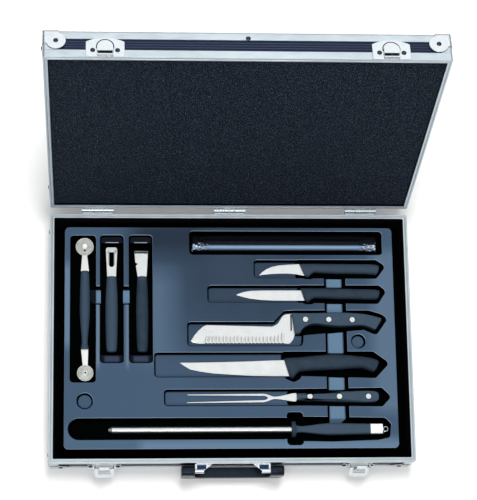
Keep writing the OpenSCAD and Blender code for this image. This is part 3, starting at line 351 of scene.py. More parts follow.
def formed_sheet():
    # vacuum formed polystyrene: level faces get a painted blue grey sheen, a painted
    # reflection; walls are drawn thin and dark, deep floors are left black as painted shade,
    # painted patches stand for light and shade, and lips that face the lamp get a painted
    # highlight line;
    # handles' floors lie at 34, the finger channels at 38, ledges at 43 and the top at 50
    material, tree = blank_material("vacuum_formed_polystyrene")
    where = here(tree)
    place = axes(tree, where)
    height = place["Z"]
    turned = add(tree, "ShaderNodeNewGeometry").outputs["Normal"]
    level = between(tree, axes(tree, turned)["Z"], 0.6, 0.99)
    # faces that get the painted sheen, and a little specular: level ones above the deep floors
    lit = product(tree, level, between(tree, height, 36.4 * MM, 37.4 * MM))
    skin = spots(tree, 1.1)
    # painted sheen: it grows away from the middle of the back
    flat = add(tree, "ShaderNodeVectorMath", {0: where, 1: (1, 1, 0)}, operation="MULTIPLY")
    away = add(tree, "ShaderNodeVectorMath", {0: flat.outputs[0], 1: (20 * MM, 110 * MM, 0)},
               operation="DISTANCE").outputs["Value"]
    painted_sheen = blend_colours(tree, between(tree, away, 60 * MM, 200 * MM),
                          linear("#2a3747"), linear("#3c5065"))
    painted_sheen_and_shade = blend_colours(tree, spread(tree, spots(tree, 70), 0.0, 0.15), painted_sheen,
                           linear("#4a5a6e"))
    in_channel = between(tree, height, 40.5 * MM, 41 * MM, 1.0, 0.0)
    below_top = between(tree, height, 47 * MM, 48 * MM, 1.0, 0.0)
    on_ledge = product(tree, below_top, between(tree, height, 41.5 * MM, 42 * MM))
    on_top = between(tree, height, 49 * MM, 49.4 * MM)
    # painted light and shade: lighter sheen and darker shade in boxes, in millimetres
    painted_light_areas = [  # left, right, front and back edge, soft border, level, colour
        (-190, -90, -40, 145, 2, on_ledge, "#0a0d12"),
        (133.5, 154.5, -110, 90, 1.5, in_channel, "#5c768e"),
        (-186, -132, 49.5, 67.5, 1.5, in_channel, "#5c768e"),
        (-200, -181.5, 45, 72, 1.5, in_channel, "#05070b"),
        (-184, -176, -46, 74, 12, on_top, "#8ba1b4"),
        (-143.5, -136.5, -46, 74, 12, on_top, "#8ba1b4"),
        (-142, -60, -50, 108, 36, on_top, "#4a5e73"),
        (-260, -110, -175, -112, 16, on_top, "#465b71"),
        (-130, 260, -175, -131, 14, on_top, "#5b7289"),
        (186, 260, -110, 130, 18, on_top, "#51657a"),
        (-270, -204, -20, 110, 16, on_top, "#5a7086"),
        (-150, -15, 98, 180, 34, on_top, "#222d3b")]
    # painted shade on the lower ledges of the peeler's and zester's pockets, painted highlight
    # bars on their upper ledges' lips
    for x in (-160.8, -121.6):
        painted_light_areas.append((x - 11, x + 11, -33, -23, 2.5, below_top, "#2e394c"))
        painted_light_areas.append((x - 9.5, x + 9.5, 131.5, 134.4, 1.2, below_top, "#a3b2c4"))
    for *box, border, at_level, colour in painted_light_areas:
        share = inside_box(tree, place["X"], place["Y"], box, border, at_level)
        painted_sheen_and_shade = blend_colours(tree, share, painted_sheen_and_shade, linear(colour))
    # painted highlight along lips that face the front lamp
    painted_lip_highlight = product(tree, between(tree, dotted(tree, turned, (-0.45, -0.9, 0)), 0.1, 0.6),
                  between(tree, height, 48.8 * MM, 49.3 * MM))
    # faces without the painted sheen keep the sheet's near black
    painted_tray_colour = blend_colours(tree, lit, linear("#020303"), painted_sheen_and_shade)
    surface(tree, {
        "Base Color": blend_colours(tree, painted_lip_highlight, painted_tray_colour, linear("#93a9c2")),
        "Roughness": spread(tree, skin, 0.36, 0.5), "IOR": 1.58,
        "Specular IOR Level": between(tree, lit, 0, 1, 0.0, 0.1),
        "Specular Tint": BLUISH, "Normal": bump(tree, skin, 0.05, 0.5)})
    return material


def black_lining():
    # black sheet behind the tray: matt, unlit
    material, tree = blank_material("black_lining_sheet")
    surface(tree, {
        "Base Color": mottled(tree, 3, "#040405", "#0a0b0c"),
        "Roughness": 0.8, "IOR": 1.5, "Specular IOR Level": 0.1})
    return material


def egg_foam():
    # open cell polyurethane foam: charcoal cells, with pale specks painted as glints where
    # cell walls catch the light; the cells are drawn about 1.4 mm wide so that they show
    material, tree = blank_material("charcoal_polyurethane_foam")
    cells = spots(tree, 1.4, 1)
    fine = spots(tree, 0.6, 1)
    tone = blend_colours(tree, between(tree, cells, 0.42, 0.6), linear("#0e131b"),
                         linear("#27303d"))
    painted_glint = between(tree, fine, 0.68, 0.74)
    surface(tree, {
        "Base Color": blend_colours(tree, painted_glint, tone, linear("#a9b5c4")),
        "Roughness": 0.95, "IOR": 1.4, "Specular IOR Level": 0.1,
        "Normal": bump(tree, cells, 0.5, 0.8)})
    return material


def moulded_handle():
    # charcoal polypropylene with a fine spark eroded grain
    material, tree = blank_material("charcoal_polypropylene")
    grain = spots(tree, 0.5)
    # painted light: the two handles at the left and the rearmost row are painted a little
    # paler, as more light falls there
    place = axes(tree, here(tree))
    painted_light_share = maths(tree, "MAXIMUM", between(tree, place["X"], -146 * MM, -140 * MM, 1.0, 0.0),
                  between(tree, place["Y"], 78 * MM, 82 * MM, 0.0, 0.6))
    tone = blend_colours(tree, painted_light_share, linear("#26313c"), linear("#364553"))
    surface(tree, {
        "Base Color": blend_colours(tree, spread(tree, spots(tree, 12), 0.0, 0.3), tone,
                                    linear("#3a4958")),
        "Roughness": spread(tree, grain, 0.42, 0.56), "IOR": 1.49,
        "Specular IOR Level": 0.2, "Specular Tint": BLUISH,
        "Normal": bump(tree, grain, 0.06, 0.6)})
    return material


def riveted_handle():
    # hard charcoal acetal scales, ground flush with their tang
    material, tree = blank_material("charcoal_acetal_scales")
    grain = spots(tree, 0.4)
    surface(tree, {
        "Base Color": mottled(tree, 8, "#334250", "#3c4c5b"),
        "Roughness": spread(tree, grain, 0.38, 0.5), "IOR": 1.48,
        "Specular IOR Level": 0.2, "Specular Tint": BLUISH,
        "Normal": bump(tree, grain, 0.03, 0.5)})
    return material


def gloss_black():
    # gloss black film of the tube: tight highlights, a few long wrinkles, and a painted
    # highlight band with painted glints
    material, tree = blank_material("gloss_black_film")
    wrinkles = spots(tree, 7, 3, (0.35, 1, 1))
    black = blend_colours(tree, wrinkles, linear("#040506"), linear("#0a0c0f"))
    # painted highlight: a pale band painted where the film leans to the front, broken up over
    # the creases
    turned = add(tree, "ShaderNodeNewGeometry").outputs["Normal"]
    lean = dotted(tree, turned, (0.0, -1.0, 0.0))
    painted_highlight_share = product(tree, between(tree, lean, 0.26, 0.48),
                       between(tree, lean, 0.54, 0.80, 1.0, 0.0))
    painted_highlight_share = product(tree, painted_highlight_share, between(tree, wrinkles, 0.2, 0.5, 0.75, 1.0))
    film = blend_colours(tree, painted_highlight_share, black, linear("#859fbf"))
    # painted glints on the band, only over the crumpled ends
    painted_glints = product(tree, between(tree, spots(tree, 2.2), 0.52, 0.6), painted_highlight_share)
    middle = (TUBE_START + TUBE_END) / 2
    from_middle = maths(tree, "ABSOLUTE", maths(
        tree, "SUBTRACT", axes(tree, here(tree))["X"], middle * MM))
    painted_glints = product(tree, painted_glints, between(tree, from_middle, 105 * MM, 110 * MM))
    surface(tree, {
        "Base Color": blend_colours(tree, painted_glints, film, linear("#eef3f8")),
        "Roughness": spread(tree, wrinkles, 0.16, 0.26), "IOR": 1.5,
        "Specular IOR Level": 0.14, "Specular Tint": PALE_BLUISH,
        "Normal": bump(tree, wrinkles, 0.1, 0.5)})
    return material


def grip_plastic():
    # black nylon grip: semi gloss with a fine mould grain
    material, tree = blank_material("black_nylon_grip")
    grain = spots(tree, 0.8)
    surface(tree, {
        "Base Color": mottled(tree, 10, "#090c10", "#12171d"),
        "Roughness": spread(tree, grain, 0.24, 0.34), "IOR": 1.53,
        "Specular IOR Level": 0.3, "Specular Tint": PALE_BLUISH,
        "Normal": bump(tree, grain, 0.04, 0.5)})
    return material


def sticker_paper():
    # blank coated paper
    material, tree = blank_material("coated_paper")
    surface(tree, {
        "Base Color": mottled(tree, 3, "#e6e9ec", "#f4f5f6"),
        "Roughness": 0.45, "IOR": 1.5})
    return material


ALUMINIUM, NICKEL, CHROME = anodised_aluminium(), pressed_nickel(), chrome()
STEEL, SATIN, SHEET = polished_steel(), satin_steel(), ribbed_sheet()
TRAY, LINING = formed_sheet(), black_lining()
FOAM, HANDLE, SCALE, RIVET = egg_foam(), moulded_handle(), riveted_handle(), dark_rivet()
TUBE, GRIP, PAPER = gloss_black(), grip_plastic(), sticker_paper()
KEEPER, LID_SHEET = pressed_nickel(True), ribbed_sheet(True)
# the boxes hold a painted dark reflection and shade on the bracket's ears and the latches'
# windows
BRACKET = chrome("chrome_plate_bracket", (35, 48.5, -178.6, -171.6))
LATCH = chrome("chrome_plate_latch", (LATCH_X - 8.5, LATCH_X + 8.5, -176.4, -171.8))

SLOT_MATERIAL = {
    "aluminium_profile": ALUMINIUM, "ribbed_panel": SHEET, "lining": LINING,
    "zinc_hardware": NICKEL, "chrome_hardware": CHROME, "tray_plastic": TRAY,
    "lid_foam": FOAM, "grip_plastic": GRIP, "polished_steel": STEEL,
    "handle_plastic": HANDLE, "tube_plastic": TUBE}
OWN_MATERIAL = {
    "bread_scales": SCALE, "fork_scales": SCALE, "baller_scoops": SATIN,
    "base_rivets": RIVET, "lid_rivets": RIVET, "lid_keepers": KEEPER,
    "handle_bracket": BRACKET, "left_lever": LATCH, "right_lever": LATCH,
    "left_claw": LATCH, "right_claw": LATCH}
NODE_SLOT = {row["node"]: row["material_slot"] for row in frame["record"]["subparts"]}
NODE_BODY = {n: b for b, ns in frame["record"]["behaviour"]["bodies"].items() for n in ns}


def dress(obj, material):
    obj.data.materials.clear()
    obj.data.materials.append(material)


for node_name, node_object in CAD.items():
    look = SLOT_MATERIAL[NODE_SLOT[node_name]]
    if look == SHEET and NODE_BODY[node_name] == "lid":
        look = LID_SHEET
    dress(node_object, OWN_MATERIAL.get(node_name, look))


# ---------------------------------------------------------------- making pieces

def shade(mesh, degrees):
    """Smooth shading, with edges sharper than this angle left crisp."""
    mesh.polygons.foreach_set("use_smooth", [True] * len(mesh.polygons))
    mesh.set_sharp_from_angle(angle=math.radians(degrees))


def finish_piece(bm, name, body, material, stands_for=(), crisp=35):
    """Turns a bmesh in millimetres into a piece that rides on its body."""
    bmesh.ops.scale(bm, vec=(MM, MM, MM), verts=bm.verts)
    mesh = bpy.data.meshes.new(name)
    bm.to_mesh(mesh)
    bm.free()
    shade(mesh, crisp)
    piece = bpy.data.objects.new(name, mesh)
    scene.collection.objects.link(piece)
    dress(piece, material)
    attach(piece, body)
    if stands_for:
        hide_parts(*stands_for)
    # wide flat faces keep their own direction, and rounded edges blend into them
    level = piece.modifiers.new("wide_faces_flat", "WEIGHTED_NORMAL")
    level.keep_sharp = True
    return piece


def bulged(value, power):
    """value, from -1 to 1, moved outward so that a circle becomes a rounded square."""
    return math.copysign(abs(value) ** (2 / power), value)


def round_section(points, power):
    """Places round a section, as (share of its width, share of its half thickness)."""
    turns = [2 * math.pi * (i + 0.5) / points for i in range(points)]
    return [(0.5 - 0.5 * bulged(math.cos(turn), power), bulged(math.sin(turn), power))
            for turn in turns]


GROOVE_SHARE = 0.42  # how far a groove reaches from the bottom line to the top line


def loft(stations, section):
    """A skin through stations of (bottom x, y, top x, y, half thickness, groove depth),
    drawn out ring by ring from a first circle of vertices. The groove thins the upper
    side near the bottom line and may be left out."""
    def place(verts, station):
        bx, by, tx, ty, half = station[:5]
        groove = station[5] if len(station) > 5 else 0.0
        for vert, (share, out) in zip(verts, section):
            height = half * out
            if out > 0 and share < GROOVE_SHARE:
                height -= groove * out * math.sqrt(1 - (share / GROOVE_SHARE) ** 2)
            vert.co = (bx + (tx - bx) * share, by + (ty - by) * share, TOOL_Z + height)

    bm = bmesh.new()
    first = bmesh.ops.create_circle(bm, cap_ends=True, segments=len(section), radius=1)
    ring = first["verts"]
    place(ring, stations[0])
    edges = bm.edges[:]
    for station in stations[1:]:
        order = {v: i for i, v in enumerate(ring)}
        made = bmesh.ops.extrude_edge_only(bm, edges=edges)["geom"]
        new_verts = {g for g in made if isinstance(g, bmesh.types.BMVert)}
        new_ring = [None] * len(ring)
        for vert in new_verts:
            mate = next(e.other_vert(vert) for e in vert.link_edges
                        if e.other_vert(vert) in order)
            new_ring[order[mate]] = vert
        edges = [g for g in made if isinstance(g, bmesh.types.BMEdge)
                 and g.verts[0] in new_verts and g.verts[1] in new_verts]
        ring = new_ring
        place(ring, station)
    bmesh.ops.contextual_create(bm, geom=edges)
    bmesh.ops.recalc_face_normals(bm, faces=bm.faces)
    return bm


def cad_copy(node):
    """A merged copy of a CAD node in millimetres, with the flat faces made whole."""
    bm = bmesh.new()
    bm.from_mesh(CAD[node].data)
    bmesh.ops.scale(bm, vec=(1 / MM, 1 / MM, 1 / MM), verts=bm.verts)
    bmesh.ops.remove_doubles(bm, verts=bm.verts, dist=0.004)
    bmesh.ops.dissolve_limit(bm, angle_limit=math.radians(0.5), verts=bm.verts, edges=bm.edges)
    return bm


def softened(node, *rounds, crisp=35):
    """A copy of a CAD node with edges rounded over, each round being (width, segments,
    choice of edges)."""
    bm = cad_copy(node)
    for width, segments, chosen in rounds:
        edges = [e for e in bm.edges if len(e.link_faces) == 2 and chosen(e)]
        bmesh.ops.bevel(bm, geom=edges, offset=width, offset_type="OFFSET", affect="EDGES",
                        segments=segments, profile=0.5, material=-1, clamp_overlap=False)
    finish_piece(bm, node + "_rounded", NODE_BODY[node], CAD[node].data.materials[0],
                 (node,), crisp)


def sharper(degrees):
    return lambda e: e.calc_face_angle() > math.radians(degrees)


def outward(degrees, low):
    """Convex edges sharper than this, with both ends above the height low."""
    return lambda e: (e.calc_face_angle() > math.radians(degrees) and e.is_convex
                      and min(v.co.z for v in e.verts) > low)


def inward(degrees, low, high):
    """Hollow edges sharper than this, between two heights."""
    return lambda e: (e.calc_face_angle() > math.radians(degrees) and not e.is_convex
                      and low < min(v.co.z for v in e.verts)
                      and max(v.co.z for v in e.verts) < high)


def flat_sides(degrees, near):
    """Sharp edges of a plate that lie at least this far above or below the tools' plane."""
    return lambda e: (e.calc_face_angle() > math.radians(degrees)
                      and min(abs(v.co.z - TOOL_Z) for v in e.verts) > near)


# ---------------------------------------------------------------- lid lining

FOAM_SIZE, FOAM_Z = (480.6, 330.6, 31.5), 79.2
FOAM_FACE = FOAM_Z - FOAM_SIZE[2] / 2
FOAM_WAVE = 0.35


def lid_foam():
    """The slab is made as it lies with the lid shut, and is then turned up with it."""
    bm = bmesh.new()
    bmesh.ops.create_cube(bm, size=1)
    bmesh.ops.scale(bm, vec=FOAM_SIZE, verts=bm.verts)
    bmesh.ops.translate(bm, vec=(0, 0, FOAM_Z), verts=bm.verts)
    bmesh.ops.bevel(bm, geom=bm.edges[:], offset=2.5, offset_type="OFFSET", affect="EDGES",
                    segments=3, profile=0.5, material=-1)
    bmesh.ops.subdivide_edges(bm, edges=[e for e in bm.edges if e.calc_length() > 100],
                              cuts=90, use_grid_fill=True)
    # the open face is slightly wavy
    for vert in bm.verts:
        if vert.co.z < FOAM_FACE + 0.55:
            vert.co.z += FOAM_WAVE * (1 + noise.noise(vert.co * 0.16))
    bmesh.ops.rotate(bm, cent=HINGE, matrix=LID_TURN, verts=bm.verts)
    piece = finish_piece(bm, "foam_slab", "lid", FOAM, ("lid_foam",))


lid_foam()


# ---------------------------------------------------------------- handles and blades

HANDLE_SECTION = round_section(28, 2.4)
SHORT_SECTION = round_section(28, 2.0)
# body, and stations as loft takes them
HANDLES = {
    "peeling": ("peeling_knife", [
        (103.6, 87.6, 96.4, 104.0, 4.4), (104.0, 86.6, 97.6, 104.4, 5.0),
        (106.4, 85.4, 101.6, 104.4, 5.8), (109.0, 85.3, 106.0, 104.3, 6.2),
        (112.0, 88.6, 110.0, 104.3, 6.4), (117.0, 91.8, 116.0, 104.3, 6.5),
        (130, 91.0, 130, 104.2, 6.5), (150, 90.2, 150, 104.1, 6.5),
        (170, 90.0, 170, 104.0, 6.5), (186, 89.8, 185, 103.9, 6.5),
        (196, 89.0, 194.5, 103.8, 6.5), (202.4, 88.4, 202, 103.2, 6.4),
        (204.4, 90.4, 206.4, 101.8, 5.6), (205.2, 93.0, 207.0, 99.4, 3.6)]),
    "kitchen": ("kitchen_knife", [
        (102.6, 53.4, 97.4, 70.0, 4.4), (103.0, 52.4, 98.4, 70.3, 5.0),
        (105.2, 50.6, 101.8, 70.2, 5.8), (107.8, 49.9, 105.6, 70.2, 6.2),
        (110.8, 53.0, 109.4, 70.1, 6.4), (116.0, 56.0, 115.2, 70.1, 6.5),
        (130, 55.6, 130, 70.0, 6.5), (150, 54.9, 150, 69.6, 6.5),
        (170, 54.5, 170, 69.1, 6.5), (186, 54.0, 185, 68.9, 6.5),
        (196, 53.8, 195, 68.6, 6.5), (202.2, 53.7, 201.6, 68.1, 6.4),
        (204.4, 56.0, 206.0, 66.8, 5.6), (205.2, 58.6, 206.8, 64.4, 3.6)]),
    "boning": ("boning_knife", [
        (79.8, -52.8, 72.2, -27.4, 5.0), (80.4, -54.0, 73.8, -26.8, 6.0),
        (82.6, -55.0, 77.4, -26.6, 7.2), (85.2, -54.6, 81.6, -26.4, 7.9),
        (88.2, -50.6, 86.0, -26.2, 8.3), (93.0, -46.0, 92.0, -25.8, 8.6),
        (104, -44.7, 104, -24.7, 8.8), (121, -43.9, 121, -22.9, 9.0),
        (138, -43.2, 138, -21.9, 9.0), (154, -42.3, 154, -22.4, 9.0),
        (168, -41.2, 169, -23.8, 9.0), (179, -41.2, 182, -25.3, 9.0),
        (188, -44.4, 192, -27.0, 8.8), (194.0, -46.6, 199.0, -28.8, 8.4),
        (197.2, -44.6, 201.8, -31.0, 7.0), (198.4, -41.6, 201.6, -34.0, 4.4)]),
}
# along y: half width, half thickness
SHORT_HANDLE = [(86, 5.4, 4.4), (85.4, 6.4, 5.2), (83, 6.9, 5.9), (72, 7.5, 6.5),
                (56, 8.2, 6.5), (38, 8.5, 6.5), (18, 8.3, 6.5), (0, 7.9, 6.5),
                (-12, 7.4, 6.5), (-16.6, 6.7, 6.2), (-18.2, 5.2, 5.0), (-18.6, 3.4, 3.4)]


def moulded(tool, body, stations, section):
    finish_piece(loft(stations, section), tool + "_handle_moulded", body, HANDLE,
                 (tool + "_handle",))


for tool, (body, stations) in HANDLES.items():
    moulded(tool, body, stations, HANDLE_SECTION)
for tool, x in (("peeler", -161.3), ("zester", -119.7)):
    moulded(tool, tool, [(x - w, y, x + w, y, t) for y, w, t in SHORT_HANDLE], SHORT_SECTION)

# from the edge (0) to the spine (1), down one side and back up the other
BLADE_SECTION = [(0.0, 0.08), (0.1, 0.3), (0.62, 0.92), (0.97, 1.0), (1.0, 0.8),
                 (1.0, -0.8), (0.97, -1.0), (0.62, -0.92), (0.1, -0.3), (0.0, -0.08)]
BLADES = {
    "peeling": ("peeling_knife", [
        (40.9, 88.2, 41.1, 88.5, 0.3), (44.6, 88.7, 45.4, 92.8, 0.6),
        (50, 89.4, 51.4, 97.0, 0.8), (58, 90.2, 58.6, 100.2, 0.9),
        (68, 90.7, 68, 102.2, 1.0), (80, 90.8, 79, 103.2, 1.0),
        (92, 89.8, 88, 103.7, 1.0), (103.6, 87.6, 96, 104.2, 1.0),
        (112, 90, 108, 102, 1.0)]),
    "kitchen": ("kitchen_knife", [
        (9.1, 60.6, 9.3, 61.1, 0.3), (13.6, 59.3, 14.4, 63.2, 0.55),
        (19, 57.7, 20, 65.0, 0.7), (28, 55.5, 28.6, 66.5, 0.85),
        (42, 53.9, 42, 67.1, 0.95), (60, 52.9, 60, 67.2, 1.0),
        (80, 52.8, 80, 67.2, 1.0), (102.5, 52.8, 97, 67.2, 1.0), (110, 56, 108, 66, 1.0)]),
    "boning": ("boning_knife", [
        (-68.7, -33.4, -68.4, -32.9, 0.3), (-62.6, -37.6, -61, -32.9, 0.6),
        (-55, -42.2, -53, -32.7, 0.8), (-42, -45.0, -40, -32.5, 0.9),
        (-24, -47.6, -22, -32.2, 1.0), (0, -49.3, 0, -31.7, 1.0),
        (30, -51.1, 30, -30.9, 1.0), (58, -51.5, 54, -30.2, 1.0),
        (79.6, -51.6, 71.1, -29.8, 1.0), (88, -46, 84, -30, 1.0)]),
}
for tool, (body, stations) in BLADES.items():
    finish_piece(loft(stations, BLADE_SECTION), tool + "_blade_ground", body, STEEL,
                 (tool + "_blade",), crisp=18)

# serrated knife: a fluted, scalloped edge, then the heel that rises to the handle
BREAD_EDGE_Y = -6.8
FLUTED_SECTION = [(0.0, 0.1), (0.05, 0.35), (0.13, 0.65), (0.22, 0.85), (0.31, 0.95),
                  (0.38, 1.0), (0.42, 1.0), (0.46, 1.0), (0.97, 1.0), (1.0, 0.8),
                  (1.0, -0.8), (0.97, -1.0), (0.46, -1.0), (0.13, -0.65), (0.0, -0.1)]
BREAD_TIP = [(-53.9, -3.4, -53.7, -2.8, 0.5), (-50.5, -5.2, -48.6, 5.2, 0.8),
             (-46, -6.4, -42.5, 12.2, 1.0), (-42, BREAD_EDGE_Y, -36.5, 17.2, 1.0),
             (-38, BREAD_EDGE_Y, -31.8, 19, 1.0)]
BREAD_HEEL = [(76.5, BREAD_EDGE_Y, 75.9, 33.4, 1.0), (80, -7.2, 79.2, 34.0, 1.0),
              (82.4, -5.6, 81.8, 34.3, 1.0), (84.4, -2.9, 84.2, 34.4, 1.0)]
SPINE = [(-32.2, 19.0), (57, 16.6), (61, 18.2), (65, 20.5), (68, 25.0), (70.5, 29.5),
         (73, 32.0), (75.9, 33.4)]
FLUTES, RINGS_PER_FLUTE = 22, 8
FLUTE_START, FLUTE_PITCH, FLUTE_DEPTH, SCALLOP = -35.5, 4.98, 0.8, 1.0
TIP_LEAN, TIP_LENGTH = 5.0, 20  # the first rings lean along the slanted tip
TANG_START = 82.4


def height_at(points, x):
    """Height of a line through points at x."""
    for (x0, y0), (x1, y1) in zip(points, points[1:]):
        if x <= x1:
            return y0 + (y1 - y0) * max(0.0, x - x0) / (x1 - x0)
    return points[-1][1]


def bread_blade():
    fluted = []
    for i in range(FLUTES * RINGS_PER_FLUTE + 1):
        x = FLUTE_START + i * FLUTE_PITCH / RINGS_PER_FLUTE
        wave = math.sin(math.pi * (i % RINGS_PER_FLUTE) / RINGS_PER_FLUTE)
        top_x = x + TIP_LEAN * max(0.0, 1 - (x - FLUTE_START) / TIP_LENGTH)
        fluted.append((x, BREAD_EDGE_Y + SCALLOP * wave, top_x, height_at(SPINE, top_x), 1.0,
                       FLUTE_DEPTH * wave))
    bm = loft(BREAD_TIP + fluted + BREAD_HEEL, FLUTED_SECTION)
    # the tang inside the scales is the CAD blade's own
    tang = cad_copy("bread_blade")
    bmesh.ops.bisect_plane(tang, geom=tang.verts[:] + tang.edges[:] + tang.faces[:],
                           plane_co=(TANG_START, 0, 0), plane_no=(1, 0, 0), clear_inner=True)
    bmesh.ops.holes_fill(tang, edges=[e for e in tang.edges if e.is_boundary])
    spare = bpy.data.meshes.new("tang")
    tang.to_mesh(spare)
    tang.free()
    bm.from_mesh(spare)
    bpy.data.meshes.remove(spare)
    finish_piece(bm, "bread_blade_ground", "bread_knife", STEEL,
                 ("bread_blade",), crisp=28)


bread_blade()
for node in ("bread_scales", "fork_scales"):
    softened(node, (2.0, 4, flat_sides(50, 3.0)))
softened("fork_steel", (0.6, 3, sharper(50)))
softened("peeler_blade", (0.3, 2, sharper(50)))
softened("zester_blade", (0.3, 2, sharper(50)))
softened("baller_scoops", (0.3, 2, sharper(60)))
softened("steel_guard", (0.7, 3, sharper(50)))

# sharpening steel's handle: a flat upper face that slopes up from the guard
STEEL_Y = -124.0
# along x: half width, half thickness
STEEL_HANDLE = [(86.3, 4.6, 4.4), (86.5, 5.4, 5.2), (87.6, 5.4, 5.0), (90.3, 4.5, 4.2),
                (94.3, 4.2, 3.7), (101.3, 4.8, 4.1), (111.3, 6.2, 5.3), (122.3, 7.5, 6.7),
                (130, 8.0, 7.5), (132.3, 8.1, 7.6), (148.3, 7.9, 7.6), (168.3, 7.4, 7.4),
                (186.3, 7.05, 7.2), (201, 6.9, 7.0), (203.2, 6.3, 6.4), (204, 5.0, 5.0)]
FLATNESS = 4.0
STICKER_X, STICKER_LENGTH, STICKER_ARC = 195.4, 16.4, 116
STICKER_WIDE, STICKER_HIGH = 7.07, 7.22


def steel_handle():
    stations = [(x, STEEL_Y - wide, x, STEEL_Y + wide, high) for x, wide, high in STEEL_HANDLE]
    finish_piece(loft(stations, round_section(44, FLATNESS)), "steel_handle_faceted",
                 "sharpening_steel", SCALE, ("steel_handle",), crisp=24)
    # the blank paper sticker, bent over the upper face
    bm = bmesh.new()
    bmesh.ops.create_grid(bm, x_segments=6, y_segments=20, size=0.5)
    for vert in bm.verts:
        turn = math.radians(90 + STICKER_ARC * vert.co.y)
        vert.co = (STICKER_X + STICKER_LENGTH * vert.co.x,
                   STEEL_Y + STICKER_WIDE * bulged(math.cos(turn), FLATNESS),
                   TOOL_Z + STICKER_HIGH * bulged(math.sin(turn), FLATNESS))
    bmesh.ops.recalc_face_normals(bm, faces=bm.faces)
    bmesh.ops.solidify(bm, geom=bm.faces[:], thickness=0.1)
    finish_piece(bm, "blank_sticker", "sharpening_steel", PAPER)


steel_handle()


# ---------------------------------------------------------------- gloss black tube

def film_tube():
    """A tube in shrunk film: smooth along the middle, crumpled over both ends."""
    centre = Vector((0, TUBE_Y, TOOL_Z))
    smooth_from, smooth_to = TUBE_START + CRUMPLED_END, TUBE_END - CRUMPLED_END
    end_rings, middle_rings = 40, 30
    xs = [TUBE_START + CRUMPLED_END * i / end_rings for i in range(end_rings + 1)]
    xs += [smooth_from + (smooth_to - smooth_from) * i / middle_rings
           for i in range(1, middle_rings + 1)]
    xs += [smooth_to + CRUMPLED_END * i / end_rings for i in range(1, end_rings + 1)]
    bm = loft([(x, TUBE_Y - TUBE_RADIUS, x, TUBE_Y + TUBE_RADIUS, TUBE_RADIUS) for x in xs],
              round_section(96, 2.0))
    for vert in bm.verts:
        from_end = min(vert.co.x - TUBE_START, TUBE_END - vert.co.x)
        crumple = max(0.0, 1 - from_end / CRUMPLED_END) ** 0.6
        middle = Vector((vert.co.x, centre.y, centre.z))
        out = vert.co - middle
        folds = noise.noise(Vector((vert.co.x * 0.16, out.y * 0.3, out.z * 0.3)))
        creases = abs(noise.noise(vert.co * 0.42))
        fine = noise.noise(Vector((vert.co.x * 0.05, out.y * 0.5, out.z * 0.5)) + centre)
        rounded = max(0.0, 1 - from_end / 2.5) ** 2
        # how far the film lies under the tube's full radius
        depth = crumple * (1.3 + 0.9 * folds + 1.4 * creases) + 3.0 * rounded
        depth += 0.03 * (1 + fine)
        vert.co = middle + out * (1 - depth / TUBE_RADIUS)
    finish_piece(bm, "film_wrapped_tube", "tube_case", TUBE,
                 ("tube", "tube_ends"), crisp=60)


film_tube()


# ---------------------------------------------------------------- tray and case

softened("tray", (0.65, 2, outward(25, 35.0)), (1.4, 2, inward(40, 24.0, 45.0)))
for node in ("base_rim_profile", "lid_rim_profile", "base_edge_profile", "lid_edge_profile",
             "base_corner_caps", "lid_corner_caps"):
    softened(node, (0.4, 2, sharper(45)))
for node in ("latch_plates", "lid_keepers", "left_lever", "right_lever", "left_claw",
             "right_claw", "handle_bracket"):
    softened(node, (0.25, 2, sharper(50)))
softened("carry_grip", (1.2, 3, sharper(50)), crisp=50)


# ---------------------------------------------------------------- floor and light

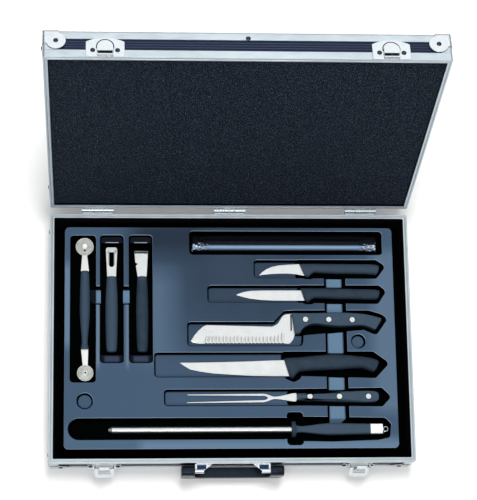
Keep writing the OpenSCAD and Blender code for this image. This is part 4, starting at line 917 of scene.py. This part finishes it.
def make_floor():
    """White paper under the case, which takes its shadow and has no visible edge."""
    mesh = bpy.data.meshes.new("floor")
    bm = bmesh.new()
    bmesh.ops.create_grid(bm, x_segments=1, y_segments=1, size=6)
    bmesh.ops.translate(bm, vec=(0, 0, cad_box[0][2]), verts=bm.verts)
    bm.to_mesh(mesh)
    bm.free()
    floor = bpy.data.objects.new("floor", mesh)
    scene.collection.objects.link(floor)
    material, tree = blank_material("white_paper_floor")
    ray = add(tree, "ShaderNodeLightPath").outputs
    seen = maths(tree, "MAXIMUM", ray["Is Camera Ray"], ray["Is Glossy Ray"])
    # far from the case, where the lamps don't reach, the paper is as white as close by
    away = add(tree, "ShaderNodeVectorMath", {0: here(tree)}, operation="LENGTH")
    glow = product(tree, seen, between(tree, away.outputs["Value"], 0.7, 2.2, 0.14, 1.0))
    paper = add(tree, "ShaderNodeBsdfDiffuse", {"Color": linear("#f4f4f4")})
    lit = add(tree, "ShaderNodeEmission", {"Color": (1, 1, 1, 1), "Strength": glow})
    both = add(tree, "ShaderNodeAddShader", {0: paper.outputs[0], 1: lit.outputs[0]})
    add(tree, "ShaderNodeOutputMaterial", {"Surface": both.outputs[0]})
    dress(floor, material)


def make_world():
    """A white room whose walls are darker than its ceiling, white where the camera looks."""
    world = bpy.data.worlds.new("studio")
    world.use_nodes = True
    tree = world.node_tree
    tree.nodes.clear()
    up = axes(tree, add(tree, "ShaderNodeTexCoord").outputs["Generated"])["Z"]
    ray = add(tree, "ShaderNodeLightPath").outputs
    lit = between(tree, up, -0.1, 0.9, 0.1, 0.3)
    mirrored = between(tree, up, -0.1, 0.9, 0.2, 0.5)
    room = add(tree, "ShaderNodeMix", {"Factor": ray["Is Glossy Ray"], 2: lit, 3: mirrored},
               data_type="FLOAT").outputs[0]
    strength = add(tree, "ShaderNodeMix", {"Factor": ray["Is Camera Ray"], 2: room, 3: 1.0},
                   data_type="FLOAT")
    back = add(tree, "ShaderNodeBackground", {"Color": (1, 1, 1, 1),
                                              "Strength": strength.outputs[0]})
    add(tree, "ShaderNodeOutputWorld", {"Surface": back.outputs[0]})
    scene.world = world


def lamp(name, place, target, size, power, mirrored=True, lights=True):
    """An area lamp that may stay out of mirrors, or show in mirrors only; in metres."""
    data = bpy.data.lights.new(name, "AREA")
    data.shape, data.size, data.size_y, data.energy = "RECTANGLE", size[0], size[1], power
    light = bpy.data.objects.new(name, data)
    light.visible_glossy = mirrored
    light.visible_diffuse = lights
    aim = (Vector(target) - Vector(place)).to_track_quat("-Z", "Y")
    light.matrix_world = Matrix.Translation(place) @ aim.to_matrix().to_4x4()
    scene.collection.objects.link(light)


make_floor()
make_world()
lamp("key", (0.03, 0.52, 2.4), (0, 0, 0), (0.5, 0.9), 42, mirrored=False)
lamp("overhead", (0.15, 0.45, 2.5), (0.15, 0.45, 0), (2.2, 2.0), 13)
lamp("front", (-0.3, -1.2, 2.2), (0, 0, 0.1), (1.8, 0.5), 17)
lamp("back", (0.3, 2.6, 2.2), (0, 0.2, 0.3), (2.6, 1.6), 18, lights=False)
